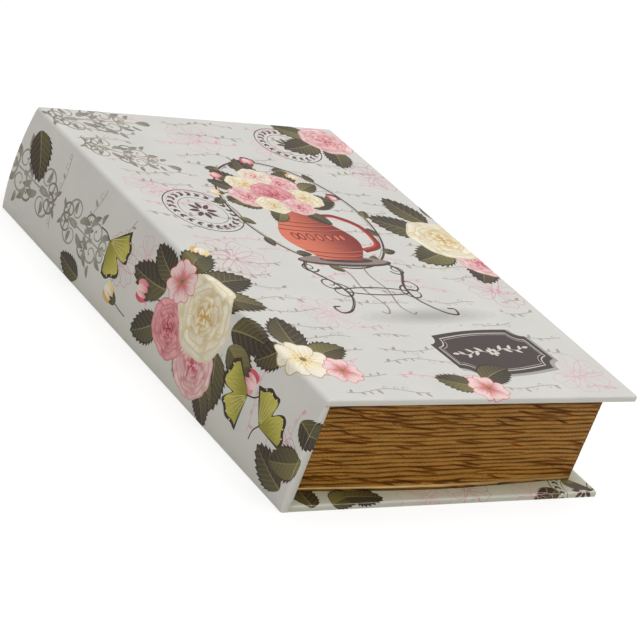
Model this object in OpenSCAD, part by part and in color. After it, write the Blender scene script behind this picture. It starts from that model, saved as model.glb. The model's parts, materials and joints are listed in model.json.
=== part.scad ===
// Book box: a lidded tray that looks like a closed book lying on its back cover.
// X runs from the spine to the fore-edge, Y from the tail to the head, Z up.

/* [Covers] */
// Length of the covers and the spine, tail to head
cover_l = 330; // [240:1:400]
// Width of the base cover
base_w = 227.5; // [180:0.5:300]
// How far the lid reaches back over the spine from the spine's inner face
lid_back = 2.6; // [1:0.1:6]
// How far the lid's fore-edge stops short of the base's
lid_setback = 2.3; // [0:0.1:6]
// Thickness of the cover boards
board_t = 3.2; // [2.4:0.1:6]
// Thickness of the printed covering
wrap_t = 0.3; // [0.2:0.05:0.5]
// Rounding of the covers' upper edges
edge_r = 1.6; // [0.5:0.1:2.4]
// Rounding of the lid's edge over the hinge
hinge_edge_r = 3; // [0.5:0.1:3.4]
// Rounding of the covers' corners, seen from above
corner_r = 1.5; // [0.5:0.1:6]

/* [Spine] */
// Thickness of the spine at its foot, with the covering
spine_foot = 4.85; // [3:0.05:12]
// Distance of the spine's line from its inner face at the lid's top
spine_head = 2; // [0.5:0.1:8]
// Swell of the spine's curve beyond its straight line
spine_bulge = 3.2; // [1:0.1:12]

/* [Tray] */
// Height of the tray above the base cover
tray_h = 61.7; // [40:0.1:120]
// Clearance between the closed lid and the hinge cloth on the tray's rim
lid_clear = 0.05; // [0:0.05:1]
// Ledge of the base round the tray at head and tail
ledge_ends = 13.5; // [4:0.1:30]
// Ledge of the base beyond the tray at the fore-edge
ledge_fore = 12.7; // [4:0.1:30]
// Thickness of the tray's walls
wall_t = 6; // [5:0.1:12]
// Thickness of the tray's floor panel
floor_t = 2; // [1:0.1:6]
// Thickness of the lining paper in the tray and the lid
lining_t = 0.5; // [0.2:0.05:1.5]
// Bare border of the covering's turn-in round the lid's lining
lid_turn_in = 15; // [8:0.5:30]

/* [Page edges] */
// Thickness of the ribbed strips, ribs and backing together
strip_t = 2.4; // [1.8:0.1:5]
// Height of the ribs
rib_h = 0.5; // [0.4:0.1:1.2]
// Distance from rib to rib
rib_pitch = 2.8; // [2:0.1:6]

/* [Closure and hinge] */
// Diameter of the magnets and of the steel discs
magnet_d = 4; // [3:0.1:4.5]
// Thickness of the magnets
magnet_t = 3; // [1.5:0.1:6]
// Thickness of the steel discs
plate_t = 1; // [0.5:0.1:1.6]
// Distance of the magnets from the tray's ends
magnet_inset = 70; // [30:1:100]
// Reach of the hinge cloth down the spine
cloth_down = 25; // [8:1:35]
// Reach of the hinge cloth under the lid
cloth_out = 14; // [8:0.5:30]
// Thickness of the hinge cloth
cloth_t = 0.25; // [0.1:0.05:0.5]

/* [Hidden] */
$fn = 64;

// Heights
cover_t = board_t + 2 * wrap_t;
rim_z = cover_t + tray_h;
lid_z = rim_z + cloth_t + lid_clear;
top_z = lid_z + cover_t;

// Spine curve: a circle through the spine's foot and the lid's top edge
chord_x = spine_foot - spine_head;
chord = sqrt(pow(chord_x, 2) + pow(top_z, 2));
spine_r = pow(chord, 2) / (8 * spine_bulge) + spine_bulge / 2;
spine_cx = -(spine_foot + spine_head) / 2 + (spine_r - spine_bulge) * top_z / chord;
spine_cz = top_z / 2 - (spine_r - spine_bulge) * chord_x / chord;

// The part stands centred on its overall box
middle_x = (spine_cx - spine_r + base_w) / 2;

// Tray outline, measured from the spine's inner face
tray_x0 = max(wrap_t, cloth_t);
tray_x1 = base_w - ledge_fore;
tray_y0 = ledge_ends;
tray_y1 = cover_l - ledge_ends;
inner_x0 = tray_x0 + wall_t;
inner_x1 = tray_x1 - strip_t - wall_t;
inner_y0 = tray_y0 + strip_t + wall_t;
inner_y1 = tray_y1 - strip_t - wall_t;

// Lid outline
lid_x1 = base_w - lid_setback;
lid_x0 = -lid_back;

// Magnets stand in the middle of the fore-edge wall
magnet_x = inner_x1 + wall_t / 2;
magnet_y_tail = tray_y0 + magnet_inset;
magnet_y_head = tray_y1 - magnet_inset;

// Rounding of the covers' lower edges, just over the covering's thickness
lower_edge_r = wrap_t + 0.1;

// How far a cutting shape runs past the face that it cuts
cut = 1;

print_colour = [0.84, 0.83, 0.79];
board_colour = [0.62, 0.52, 0.4];
page_colour = [0.6, 0.42, 0.18];
lining_colour = [0.86, 0.82, 0.72];
steel_colour = [0.75, 0.76, 0.78];

// Everything is drawn from the spine's inner face and the tail end, then centred
module placed() {
    translate([-middle_x, -cover_l / 2, 0]) children();
}

// A block between two corners
module block(low, high) {
    translate(low) cube(high - low);
}

// A rectangle with its own rounding at each corner, from the lower left round to the upper left
module rounded_outline(w, h, r_low, r_right, r_left) {
    union() {
        polygon([
            [r_low, 0], [w - r_low, 0], [w, r_low], [w, h - r_right],
            [w - r_right, h], [r_left, h], [0, h - r_left], [0, r_low]
        ]);
        translate([r_low, r_low]) circle(r_low);
        translate([w - r_low, r_low]) circle(r_low);
        translate([w - r_right, h - r_right]) circle(r_right);
        translate([r_left, h - r_left]) circle(r_left);
    }
}

// A cover seen whole, set in by a margin: a slab whose edges and corners are rounded by exact arcs
module cover_slab(width, back_r, margin) {
    w = width - 2 * margin;
    l = cover_l - 2 * margin;
    h = cover_t - 2 * margin;
    low = lower_edge_r - margin;
    up = edge_r - margin;
    corner = corner_r - margin;
    translate([margin, margin, margin]) intersection() {
        translate([0, l, 0]) rotate([90, 0, 0])
            linear_extrude(l) rounded_outline(w, h, low, up, back_r - margin);
        rotate([90, 0, 90]) linear_extrude(w) rounded_outline(l, h, low, up, up);
        linear_extrude(h) rounded_outline(w, l, corner, corner, corner);
    }
}

// The base cover set in by a margin: square where it butts the spine, rounded on its other edges
module base_slab(margin, back) {
    hidden = edge_r + corner_r;
    intersection() {
        translate([-hidden, 0, 0]) cover_slab(base_w + hidden, edge_r, margin);
        block([-back, 0, 0], [base_w, cover_l, cover_t]);
    }
}

module lid_slab(margin) {
    translate([lid_x0, 0, lid_z]) cover_slab(lid_x1 - lid_x0, hinge_edge_r, margin);
}

// The spine's profile, set in by a margin, between two heights
module spine_profile(margin, z0, z1) {
    intersection() {
        translate([spine_cx, spine_cz]) circle(spine_r - margin, $fn = 360);
        translate([spine_cx - spine_r, z0]) square([spine_r - spine_cx, z1 - z0]);
    }
}

module spine_solid(margin, y0, y1, z0, z1) {
    translate([0, y1, 0]) rotate([90, 0, 0]) linear_extrude(y1 - y0) spine_profile(margin, z0, z1);
}

// A ribbed strip's profile: flat backing with a row of rib arcs that fills the height exactly
module rib_profile() {
    count = max(2, round(tray_h / rib_pitch));
    pitch = tray_h / count;
    rib_r = pow(pitch, 2) / (8 * rib_h) + rib_h / 2;
    intersection() {
        union() {
            square([strip_t - rib_h, tray_h]);
            for (i = [0:count - 1])
                translate([strip_t - rib_r, (i + 0.5) * pitch]) circle(rib_r);
        }
        square([strip_t, tray_h]);
    }
}

// A ribbed strip of a given length along Y, its ribs facing +X
module ribbed_strip(length) {
    translate([0, length, 0]) rotate([90, 0, 0]) linear_extrude(length) rib_profile();
}

module base_board() {
    color(board_colour) placed() base_slab(wrap_t, 0);
}

module base_wrap() {
    color(print_colour) placed() difference() {
        base_slab(0, 0);
        base_slab(wrap_t, cut);
        block([inner_x0, inner_y0, wrap_t], [inner_x1, inner_y1, cover_t + cut]);
    }
}

module spine_board() {
    color(board_colour) placed() spine_solid(wrap_t, wrap_t, cover_l - wrap_t, wrap_t, rim_z);
}

module spine_wrap() {
    color(print_colour) placed() union() {
        difference() {
            spine_solid(0, 0, cover_l, 0, rim_z);
            spine_solid(wrap_t, wrap_t, cover_l - wrap_t, wrap_t, rim_z + cut);
        }
        block([0, 0, cover_t], [wrap_t, tray_y0, rim_z]);
        block([0, tray_y1, cover_t], [wrap_t, cover_l, rim_z]);
    }
}

module tray_floor() {
    color(board_colour) placed()
        block([inner_x0, inner_y0, wrap_t + board_t], [inner_x1, inner_y1, wrap_t + board_t + floor_t]);
}

module end_wall(y0) {
    color(board_colour) placed()
        block([inner_x0, y0, cover_t], [inner_x1, y0 + wall_t, rim_z]);
}

module head_wall() {
    end_wall(inner_y1);
}

module tail_wall() {
    end_wall(inner_y0 - wall_t);
}

module fore_edge_wall() {
    color(board_colour) placed() difference() {
        block([inner_x1, tray_y0 + strip_t, cover_t], [inner_x1 + wall_t, tray_y1 - strip_t, rim_z]);
        for (y = [magnet_y_tail, magnet_y_head])
            translate([magnet_x, y, rim_z - magnet_t]) cylinder(d = magnet_d, h = magnet_t + cut);
    }
}

module spine_side_wall() {
    color(board_colour) placed()
        block([tray_x0, tray_y0 + strip_t, cover_t], [inner_x0, tray_y1 - strip_t, rim_z]);
}

// The prism that mitres the strips where they meet at the fore-edge corners
module mitre_prism() {
    translate([0, 0, cover_t - cut]) linear_extrude(tray_h + 2 * cut) polygon([
        [tray_x1 + cut, tray_y0 - cut], [tray_x1 + cut, tray_y1 + cut],
        [tray_x1 - strip_t - cut, tray_y1 - strip_t - cut],
        [tray_x1 - strip_t - cut, tray_y0 + strip_t + cut]
    ]);
}

module tail_page_strip() {
    color(page_colour) placed() difference() {
        translate([tray_x0, tray_y0 + strip_t, cover_t]) rotate([0, 0, -90])
            ribbed_strip(tray_x1 - tray_x0);
        mitre_prism();
    }
}

module head_page_strip() {
    color(page_colour) placed() difference() {
        translate([tray_x1, tray_y1 - strip_t, cover_t]) rotate([0, 0, 90])
            ribbed_strip(tray_x1 - tray_x0);
        mitre_prism();
    }
}

module fore_edge_page_strip() {
    color(page_colour) placed() intersection() {
        translate([tray_x1 - strip_t, tray_y0, cover_t]) ribbed_strip(tray_y1 - tray_y0);
        mitre_prism();
    }
}

module floor_lining() {
    z0 = wrap_t + board_t + floor_t;
    color(lining_colour) placed()
        block([inner_x0, inner_y0, z0], [inner_x1, inner_y1, z0 + lining_t]);
}

module wall_lining() {
    z0 = wrap_t + board_t + floor_t + lining_t;
    color(lining_colour) placed() difference() {
        block([inner_x0, inner_y0, z0], [inner_x1, inner_y1, rim_z]);
        block(
            [inner_x0 + lining_t, inner_y0 + lining_t, z0 - cut],
            [inner_x1 - lining_t, inner_y1 - lining_t, rim_z + cut]
        );
    }
}

module wall_magnet(y) {
    color(steel_colour) placed()
        translate([magnet_x, y, rim_z - magnet_t]) cylinder(d = magnet_d, h = magnet_t);
}

module wall_magnet_head() {
    wall_magnet(magnet_y_head);
}

module wall_magnet_tail() {
    wall_magnet(magnet_y_tail);
}

// An L of cloth: down between the spine and the tray, and out over the rim under the lid
module hinge_cloth() {
    color(lining_colour) placed() union() {
        block([0, tray_y0, rim_z - cloth_down], [cloth_t, tray_y1, rim_z + cloth_t]);
        block([0, tray_y0, rim_z], [cloth_out, tray_y1, rim_z + cloth_t]);
    }
}

module lid_board() {
    color(board_colour) placed() difference() {
        lid_slab(wrap_t);
        for (y = [magnet_y_tail, magnet_y_head])
            translate([magnet_x, y, lid_z]) cylinder(d = magnet_d, h = wrap_t + plate_t);
    }
}

module lid_wrap() {
    color(print_colour) placed() difference() {
        lid_slab(0);
        lid_slab(wrap_t);
        block(
            [lid_x0 + lid_turn_in, lid_turn_in, lid_z - cut],
            [lid_x1 - lid_turn_in, cover_l - lid_turn_in, lid_z + wrap_t + cut]
        );
    }
}

module lid_lining() {
    color(lining_colour) placed()
        block(
            [lid_x0 + lid_turn_in, lid_turn_in, lid_z],
            [lid_x1 - lid_turn_in, cover_l - lid_turn_in, lid_z + wrap_t]
        );
}

module lid_plate(y) {
    color(steel_colour) placed()
        translate([magnet_x, y, lid_z + wrap_t]) cylinder(d = magnet_d, h = plate_t);
}

module lid_plate_head() {
    lid_plate(magnet_y_head);
}

module lid_plate_tail() {
    lid_plate(magnet_y_tail);
}

base_board();
base_wrap();
spine_board();
spine_wrap();
tray_floor();
head_wall();
tail_wall();
fore_edge_wall();
spine_side_wall();
head_page_strip();
tail_page_strip();
fore_edge_page_strip();
floor_lining();
wall_lining();
wall_magnet_head();
wall_magnet_tail();
hinge_cloth();
lid_board();
lid_wrap();
lid_lining();
lid_plate_head();
lid_plate_tail();
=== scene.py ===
import json
import math

import bmesh
import bpy
import numpy as np
from mathutils import Matrix, Vector
from mathutils.geometry import delaunay_2d_cdt

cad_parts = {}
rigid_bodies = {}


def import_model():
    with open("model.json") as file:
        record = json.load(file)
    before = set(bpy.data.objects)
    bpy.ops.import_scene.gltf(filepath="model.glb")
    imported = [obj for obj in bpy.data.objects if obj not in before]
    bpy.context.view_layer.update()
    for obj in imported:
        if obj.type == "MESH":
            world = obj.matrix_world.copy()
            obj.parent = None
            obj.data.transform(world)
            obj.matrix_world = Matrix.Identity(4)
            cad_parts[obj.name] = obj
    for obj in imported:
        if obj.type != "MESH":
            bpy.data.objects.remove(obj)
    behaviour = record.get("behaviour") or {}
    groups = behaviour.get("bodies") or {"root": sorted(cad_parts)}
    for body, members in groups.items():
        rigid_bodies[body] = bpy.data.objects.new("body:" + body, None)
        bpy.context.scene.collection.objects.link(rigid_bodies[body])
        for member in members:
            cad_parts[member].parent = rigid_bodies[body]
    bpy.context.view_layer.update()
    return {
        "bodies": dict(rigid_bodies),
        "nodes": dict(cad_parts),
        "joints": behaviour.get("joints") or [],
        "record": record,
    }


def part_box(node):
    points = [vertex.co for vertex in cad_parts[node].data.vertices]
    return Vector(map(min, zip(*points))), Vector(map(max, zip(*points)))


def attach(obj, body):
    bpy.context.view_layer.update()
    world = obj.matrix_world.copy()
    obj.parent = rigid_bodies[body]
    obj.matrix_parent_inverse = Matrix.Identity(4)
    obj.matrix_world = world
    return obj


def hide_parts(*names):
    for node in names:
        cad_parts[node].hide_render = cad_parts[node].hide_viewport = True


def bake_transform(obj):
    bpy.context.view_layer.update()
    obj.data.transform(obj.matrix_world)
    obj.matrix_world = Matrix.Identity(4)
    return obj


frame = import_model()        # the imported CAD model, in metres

nodes = frame["nodes"]
print("frame loaded,", len(nodes), "nodes")

# Sizes are in millimetres, measured as the CAD source does: x from the spine's inner face, y from the tail end
mm = 0.001
middle = -np.array([*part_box("base_wrap")[0].xy, 0]) / mm


def cadBox(name):
    # a node's lowest and highest corners
    return [np.array(corner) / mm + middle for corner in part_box(name)]


def toMetres(points):
    # from those millimetres to the shared frame
    return (np.asarray(points, float) - middle) * mm


lidLow, lidHigh = cadBox("lid_wrap")
baseLow, baseHigh = cadBox("base_wrap")
stripLow, stripHigh = cadBox("fore_edge_page_strip")
clothLow, clothHigh = cadBox("hinge_cloth")
coverLength = baseHigh[1]
coverThick = lidHigh[2] - lidLow[2]
rimZ = stripHigh[2]


def addObject(name, data):
    made = bpy.data.objects.new(name, data)
    bpy.context.scene.collection.objects.link(made)
    return made


# Shader nodes: put adds one, and the short calls after it give the result of a common kind
def put(tree, kind, inputs=None, **settings):
    # inputs gives sockets a value or another node's output
    made = tree.nodes.new("ShaderNode" + kind)
    for name, value in settings.items():
        setattr(made, name, value)
    for key, value in (inputs or {}).items():
        if isinstance(value, bpy.types.NodeSocket):
            tree.links.new(value, made.inputs[key])
        else:
            made.inputs[key].default_value = value
    return made


def reckon(operation, *values):
    # at least one of the values is another node's output
    tree = next(value.id_data for value in values if isinstance(value, bpy.types.NodeSocket))
    return put(tree, "Math", dict(enumerate(values)), operation=operation).outputs[0]


def ranged(value, low, high, start=0.0, stop=1.0, smooth=False):
    # low to high becomes start to stop
    return put(value.id_data, "MapRange", {"Value": value, 1: low, 2: high, 3: start, 4: stop},
               interpolation_type="SMOOTHSTEP" if smooth else "LINEAR").outputs[0]


def blended(factor, tone, other):
    return put(factor.id_data, "Mix", {0: factor, 6: tone, 7: other}, data_type="RGBA").outputs[2]


def multiplied(vector, factors):
    return put(vector.id_data, "VectorMath", {0: vector, 1: factors}, operation="MULTIPLY").outputs[0]


def dimmed(tone, share):
    return put(tone.id_data, "VectorMath", {0: tone, "Scale": share}, operation="SCALE").outputs[0]


def parts(vector):
    return list(put(vector.id_data, "SeparateXYZ", {0: vector}).outputs)


def noise(place, scale, detail, roughness=0.5):
    return put(place.id_data, "TexNoise", {"Vector": place, "Scale": scale, "Detail": detail,
                                           "Roughness": roughness}).outputs[0]


def newMaterial(name):
    material = bpy.data.materials.new(name)
    material.use_nodes = True
    material.node_tree.nodes.clear()
    return material, material.node_tree


def finishSurface(tree, tone, roughness, height, strength, depth, sockets):
    # the bump and the shader at a material's end
    bump = put(tree, "Bump", {"Height": height, "Strength": strength, "Distance": depth})
    shader = put(tree, "BsdfPrincipled", {"Base Color": tone, "Roughness": roughness, "Normal": bump.outputs[0],
                                          **sockets})
    put(tree, "OutputMaterial", {"Surface": shader.outputs[0]})


def shownApart(tree, output, lit, shown):
    # the camera, gloss and glass see the shown shader, and all other light meets the lit one
    path = put(tree, "LightPath").outputs
    seen = reckon("MAXIMUM", path["Is Camera Ray"], path["Is Glossy Ray"])
    seen = reckon("MAXIMUM", seen, path["Is Transmission Ray"])
    mixed = put(tree, "MixShader", {0: seen, 1: lit.outputs[0], 2: shown.outputs[0]})
    put(tree, output, {"Surface": mixed.outputs[0]})


def ink(red, green, blue):
    # a screen colour from 0 to 255, as Blender's linear light
    tone = np.array([red, green, blue]) / 255
    return tuple(np.where(tone <= 0.04045, tone / 12.92, ((tone + 0.055) / 1.055) ** 2.4))


def ink4(red, green, blue):
    return (*ink(red, green, blue), 1.0)


# Camera, floor and light: the camera was solved from the corners of the covers
cameraSettings = {
    "place": (-0.87457, -0.95570, 0.58530),
    "right": (0.780338, -0.531127, 0.330115),
    "down": (0.010614, -0.516558, -0.856186),
    "view": (0.625268, 0.671619, -0.397453),
    "lens": 133.388,
    "sensor": 36.0,
    "clip": (0.05, 50),
}
right, down, view = (Vector(cameraSettings[way]) for way in ("right", "down", "view"))
camera = addObject("camera", bpy.data.cameras.new("camera"))
camera.data.lens, camera.data.sensor_width = cameraSettings["lens"], cameraSettings["sensor"]
camera.data.clip_start, camera.data.clip_end = cameraSettings["clip"]
turn = Matrix((right, -down, -view)).transposed()
camera.matrix_world = Matrix.Translation(cameraSettings["place"]) @ turn.to_4x4()
bpy.context.scene.camera = camera
bpy.context.scene.view_settings.view_transform = "Standard"

studioSettings = {
    "floorSide": 9.0,
    "floorTone": 0.86,
    "floorShownTone": 0.34,
    "floorShownGlow": 0.74,
    "sky": 0.36,
    "skyTone": (1, 0.985, 0.93, 1),
    "white": (1, 1, 1, 1),
    "lampAim": (0, 0, 0.03),
    "lamps": (
        {"place": (0.30, -0.20, 2.4), "side": 2.4, "watts": 41, "tone": (0.985, 0.995, 1.0)},
        {"place": (-1.5, -2.2, 1.6), "side": 1.8, "watts": 8.5, "tone": (1.0, 0.98, 0.80)},
    ),
}
white = studioSettings["white"]
world = bpy.data.worlds.new("studio")
world.use_nodes = True
world.node_tree.nodes.clear()
bpy.context.scene.world = world
skyLight = put(world.node_tree, "Background", {"Color": studioSettings["skyTone"], "Strength": studioSettings["sky"]})
skyShown = put(world.node_tree, "Background", {"Color": white, "Strength": 1.0})
shownApart(world.node_tree, "OutputWorld", skyLight, skyShown)

floorMaterial, tree = newMaterial("studioFloor")
tone, shown = studioSettings["floorTone"], studioSettings["floorShownTone"]
floorLit = put(tree, "BsdfDiffuse", {"Color": (tone, tone, tone, 1)})
floorSoft = put(tree, "BsdfDiffuse", {"Color": (shown, shown, shown, 1)})
floorGlow = put(tree, "Emission", {"Color": white, "Strength": studioSettings["floorShownGlow"]})
floorShown = put(tree, "AddShader", {0: floorSoft.outputs[0], 1: floorGlow.outputs[0]})
shownApart(tree, "OutputMaterial", floorLit, floorShown)

side = studioSettings["floorSide"] / 2
floor = addObject("floor", bpy.data.meshes.new("floor"))
floor.data.from_pydata([(-side, -side, 0), (side, -side, 0), (side, side, 0), (-side, side, 0)], [], [(0, 1, 2, 3)])
floor.data.materials.append(floorMaterial)

for number, lamp in enumerate(studioSettings["lamps"]):
    softbox = addObject(f"softbox{number}", bpy.data.lights.new(f"softbox{number}", "AREA"))
    softbox.data.energy, softbox.data.size, softbox.data.color = lamp["watts"], lamp["side"], lamp["tone"]
    softbox.location = lamp["place"]
    aim = Vector(studioSettings["lampAim"]) - Vector(lamp["place"])
    softbox.rotation_euler = aim.to_track_quat("-Z", "Y").to_euler()
print("studio set")

# The printed covering, three sheets cut flat, printed and folded
printSettings = {
    "thickness": 0.27,        # paper, a hair under the CAD covering
    "cornerRadius": 1.0,
    "guard": 0.25,            # keeps the shading of a rounding off the flat beside it
    "steps": 4,               # segments in each half of a rounding
    "ground": (217, 215, 211),
    "veinTone": (150, 150, 104),
    # pale fold crests, partly rubbing and partly a painted highlight; then painted shade, tinted as light bounced off
    # the pages
    "rubAndHighlightTone": (226, 222, 212),
    "paintedShadeTint": (0.70, 0.73, 0.51, 1),
    "cloudScale": 26.0,
    "fibreScale": 1400.0,
    "rubAndHighlightScale": 240.0,
}
touch = 1e-3                  # points this near to each other or to a line count as on it
inks = []                     # every printed shape, the last one on top
groundTone = ink(*printSettings["ground"])


def rounding(radius, steps=printSettings["steps"]):
    # distances from a sharp edge at which a rounding of that radius has its lines, evenly spread by angle
    return radius * (1 - np.tan(np.linspace(0, math.pi / 4, steps + 1)))


def roundOff(a, b, radius):
    # a and b are depths behind two faces that meet in a sharp edge. Seen from the rounding's centre a point keeps
    # its direction, and its distance shrinks from the square's to the circle's
    p = np.maximum(radius - a, 0)
    q = np.maximum(radius - b, 0)
    reach = np.hypot(p, q)
    shrink = 1 - np.maximum(p, q) / np.where(reach > 0, reach, 1)
    shrink = np.where((p > 0) & (q > 0), shrink, 0)
    return a + p * shrink, b + q * shrink


def turned(flat, cover):
    # from the whole sheet's u to the cover's own, and back again: the base's runs on from the spine's foot
    return flat * (cover["way"], 1) + (cover["start"], 0)


def foldCover(flat, cover):
    # Folds a flat sheet over a cover board. Beyond the face's edge a point goes down the board's edge and then
    # back under the face, and afterwards each sharp edge of that box is rounded off
    u, v = turned(flat, cover).T
    low, high, radii, thick = cover["low"], cover["high"], cover["radii"], coverThick
    x, y = np.clip(u, low[0], high[0]), np.clip(v, low[1], high[1])
    near = np.zeros(len(u))
    for name, beyond in (("left", low[0] - u), ("right", u - high[0]), ("tail", low[1] - v), ("head", v - high[1])):
        inward = np.maximum(beyond - thick, 0)
        near = np.maximum(near, np.clip(beyond, 0, thick))
        x += {"left": inward, "right": -inward}.get(name, 0)
        y += {"tail": inward, "head": -inward}.get(name, 0)
    sharp = {"left": x - low[0], "right": high[0] - x, "tail": y - low[1], "head": high[1] - y}
    depth = dict(sharp)
    for one, other in (("left", "tail"), ("left", "head"), ("right", "tail"), ("right", "head")):
        if one in radii:
            depth[one], depth[other] = roundOff(depth[one], depth[other], printSettings["cornerRadius"])
    for name in radii:
        depth[name], near = roundOff(depth[name], near, radii[name])
        depth[name], far = roundOff(depth[name], thick - near, cover["farRadius"])
        near = thick - far
    z = cover["faceZ"] - cover["down"] * near
    if "left" in radii:
        # the back edge leans out with the spine's arc below it
        depth["left"] = depth["left"] + np.minimum(spineArc(z) - low[0], 0) * np.clip(1 - depth["left"], 0, 1)
    moved = {name: depth[name] - sharp[name] for name in sharp}
    return np.stack([x + (moved["left"] - moved["right"]), y + (moved["tail"] - moved["head"]), z], 1)


def coverWearAndPaintedLight(flat, cover):
    # Wear and painted light by the distance past the face's edge: below 0 a fold's crest is rubbed pale with a painted
    # highlight, above 0 the paper gets painted shade
    u, v = turned(flat, cover).T
    low, high = cover["low"], cover["high"]
    beyond = np.maximum(u - high[0], np.maximum(low[1] - v, v - high[1]))
    wearAndPaintedLight = np.interp(beyond, *np.array(cover["wearAndPaintedLight"]).T)
    if "left" in cover["radii"]:
        wearAndPaintedLight = np.where(low[0] - u > beyond, np.clip(wearAndPaintedLight, -0.1, 0.1), wearAndPaintedLight)
    return wearAndPaintedLight


def coverLines(cover):
    # the sheet's outline with its notched corners, its fold lines, and how a border point meets its twin
    x0, y0, x1, y1 = *cover["low"][:2], *cover["high"][:2]
    thick, turn, radii, guard = coverThick, cover["turnIn"], cover["radii"], printSettings["guard"]
    hasLeft, reach, farRadius = "left" in radii, thick + turn, cover["farRadius"]
    corners = [(x1, y0, -1, 1), (x1, y1, -1, -1), (x0, y0, 1, 1), (x0, y1, 1, -1)][:4 if hasLeft else 2]
    notch = np.array([(-reach, turn), (-thick, 0), (0, 0), (0, -thick), (turn, -reach)])
    notches = [notch * (sx, sy) + (cx, cy) for cx, cy, sx, sy in corners]
    if hasLeft:
        outline = np.roll(np.concatenate([notches[2][::-1], notches[3], notches[1][::-1], notches[0]]), -2, 0)
    else:
        outline = np.concatenate([[(x0, y0 - reach), (x0, y1 + reach)], notches[1][::-1], notches[0]])

    def offsets(name):
        near, far = rounding(radii[name]), rounding(farRadius)
        return np.concatenate([[-radii[name] - guard], -near, near, [radii[name] + guard * 0.5], thick - far,
                               thick + far, [thick + farRadius + guard]])

    across = np.concatenate([x1 + offsets("right")] + ([x0 - offsets("left")] if hasLeft else []))
    folds = [[(x, y0 - reach - 1), (x, y1 + reach + 1)] for x in across]
    for y in np.concatenate([y0 - offsets("tail"), y1 + offsets("head")]):
        folds.append([(x0 - reach * hasLeft - hasLeft, y), (x1 + reach + 1, y)])

    def onBorder(a, b):
        # inward distances from the corner: a border has (0, -h) or (t, -thick - t), and its twin the same swapped
        straight = (np.abs(a) < touch) & (b < 0) & (b > -thick - touch)
        return straight | (np.abs(a + b + thick) < touch) & (a > 0) & (a < turn + touch)

    def twins(points):
        points = turned(points, cover)
        found, met = [], np.zeros(len(points), bool)
        for cx, cy, sx, sy in corners:
            a, b = (points[:, 0] - cx) * sx, (points[:, 1] - cy) * sy
            on = onBorder(a, b) | onBorder(b, a)
            met |= on
            found.append(np.stack([b[on] * sx + cx, a[on] * sy + cy], 1))
        return turned(np.concatenate(found), cover), met

    return turned(outline, cover), [turned(np.array(fold), cover) for fold in folds], twins


def leftHanded(line):
    # a closed outline with its inside on the left, by the sign of its area
    x, y = line.T
    return line if (x * np.roll(y, -1) - y * np.roll(x, -1)).sum() > 0 else line[::-1]


# The print, drawn on the flat sheet in millimetres. U runs from the spine over the lid to its fore-edge and V from
# the tail to the head, so the spine has U below 0 and the base's sheet runs on beyond it
tones = {name: ink(*tone) for name, tone in {
    "leafDeep": (44, 36, 26), "leafDark": (66, 54, 38), "leafOlive": (92, 84, 50), "leafLight": (126, 116, 72),
    "vein": (136, 124, 84), "pinkDeep": (206, 84, 104), "pink": (232, 150, 158), "pinkPale": (244, 212, 210),
    "roseDeep": (168, 52, 74), "rose": (214, 108, 122), "rosePale": (236, 172, 176),
    "creamDeep": (222, 178, 104), "cream": (240, 222, 170), "creamPale": (246, 238, 222),
    "creamShade": (196, 168, 122), "blushDeep": (220, 122, 120), "blush": (242, 204, 190),
    "clay": (190, 62, 46), "clayDark": (126, 40, 34), "clayLight": (218, 118, 92),
    "iron": (66, 48, 48), "ironLight": (146, 130, 124), "castDark": (166, 164, 162),
    "fan": (196, 188, 92), "fanRoot": (146, 138, 50), "fanPale": (222, 214, 146), "fanRim": (46, 34, 22),
    "plaque": (62, 52, 50), "plaqueLine": (216, 206, 198), "scroll": (156, 151, 140), "scrollDeep": (130, 125, 114),
    "outline": (226, 172, 182), "outlineDeep": (214, 142, 160), "tendril": (168, 161, 149),
    "tendrilPink": (220, 172, 182), "wreath": (84, 56, 48), "stamen": (214, 158, 56),
}.items()}
sheet = (np.eye(2), np.zeros(2))


def inside(parent, spot, angle=0, scale=1, squash=1):
    # a drawing frame in another: turned by degrees about a spot and sized, with its second axis squashed
    turn = math.radians(angle)
    matrix = np.array([[math.cos(turn), -math.sin(turn)], [math.sin(turn), math.cos(turn)]])
    matrix = matrix @ np.diag([scale, scale * squash])
    return parent[0] @ matrix, parent[0] @ np.array(spot, float) + parent[1]


def draw(frame, line, root, tip=None, wash=(0, 0, 1), ragged=0, veins=0):
    # prints a closed outline; wash gives the place where the root's tone starts and the length on which it turns
    # into the tip's, ragged how uneven that is, and veins how strong a leaf's side veins are
    matrix, shift = frame
    root, tip = (tones[tone] if isinstance(tone, str) else tone for tone in (root, root if tip is None else tip))
    inks.append({
        "line": leftHanded(np.asarray(line, float) @ matrix.T + shift), "root": root, "tip": tip,
        "origin": matrix @ np.array(wash[:2], float) + shift,
        "axes": np.eye(2) / wash[2] @ np.linalg.inv(matrix), "marks": (ragged, veins, 0),
    })


def petalLine(length, width, notch=0.0, blunt=0.4, points=10):
    # half a petal is a power of its distance from the root times a power of its distance from the tip
    p = (1 - np.cos(np.pi * np.linspace(0, 1, points))) / 2
    half = p ** 0.8 * (1 - p) ** blunt
    half *= width / half.max()
    x = np.concatenate([p, p[-2:0:-1]])
    q = np.concatenate([half, -half[-2:0:-1]])
    dent = notch * x ** 9 * np.exp(-(q / (0.45 * width + 1e-9)) ** 2)
    return np.stack([(x - dent) * length, q * length], 1)


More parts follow.
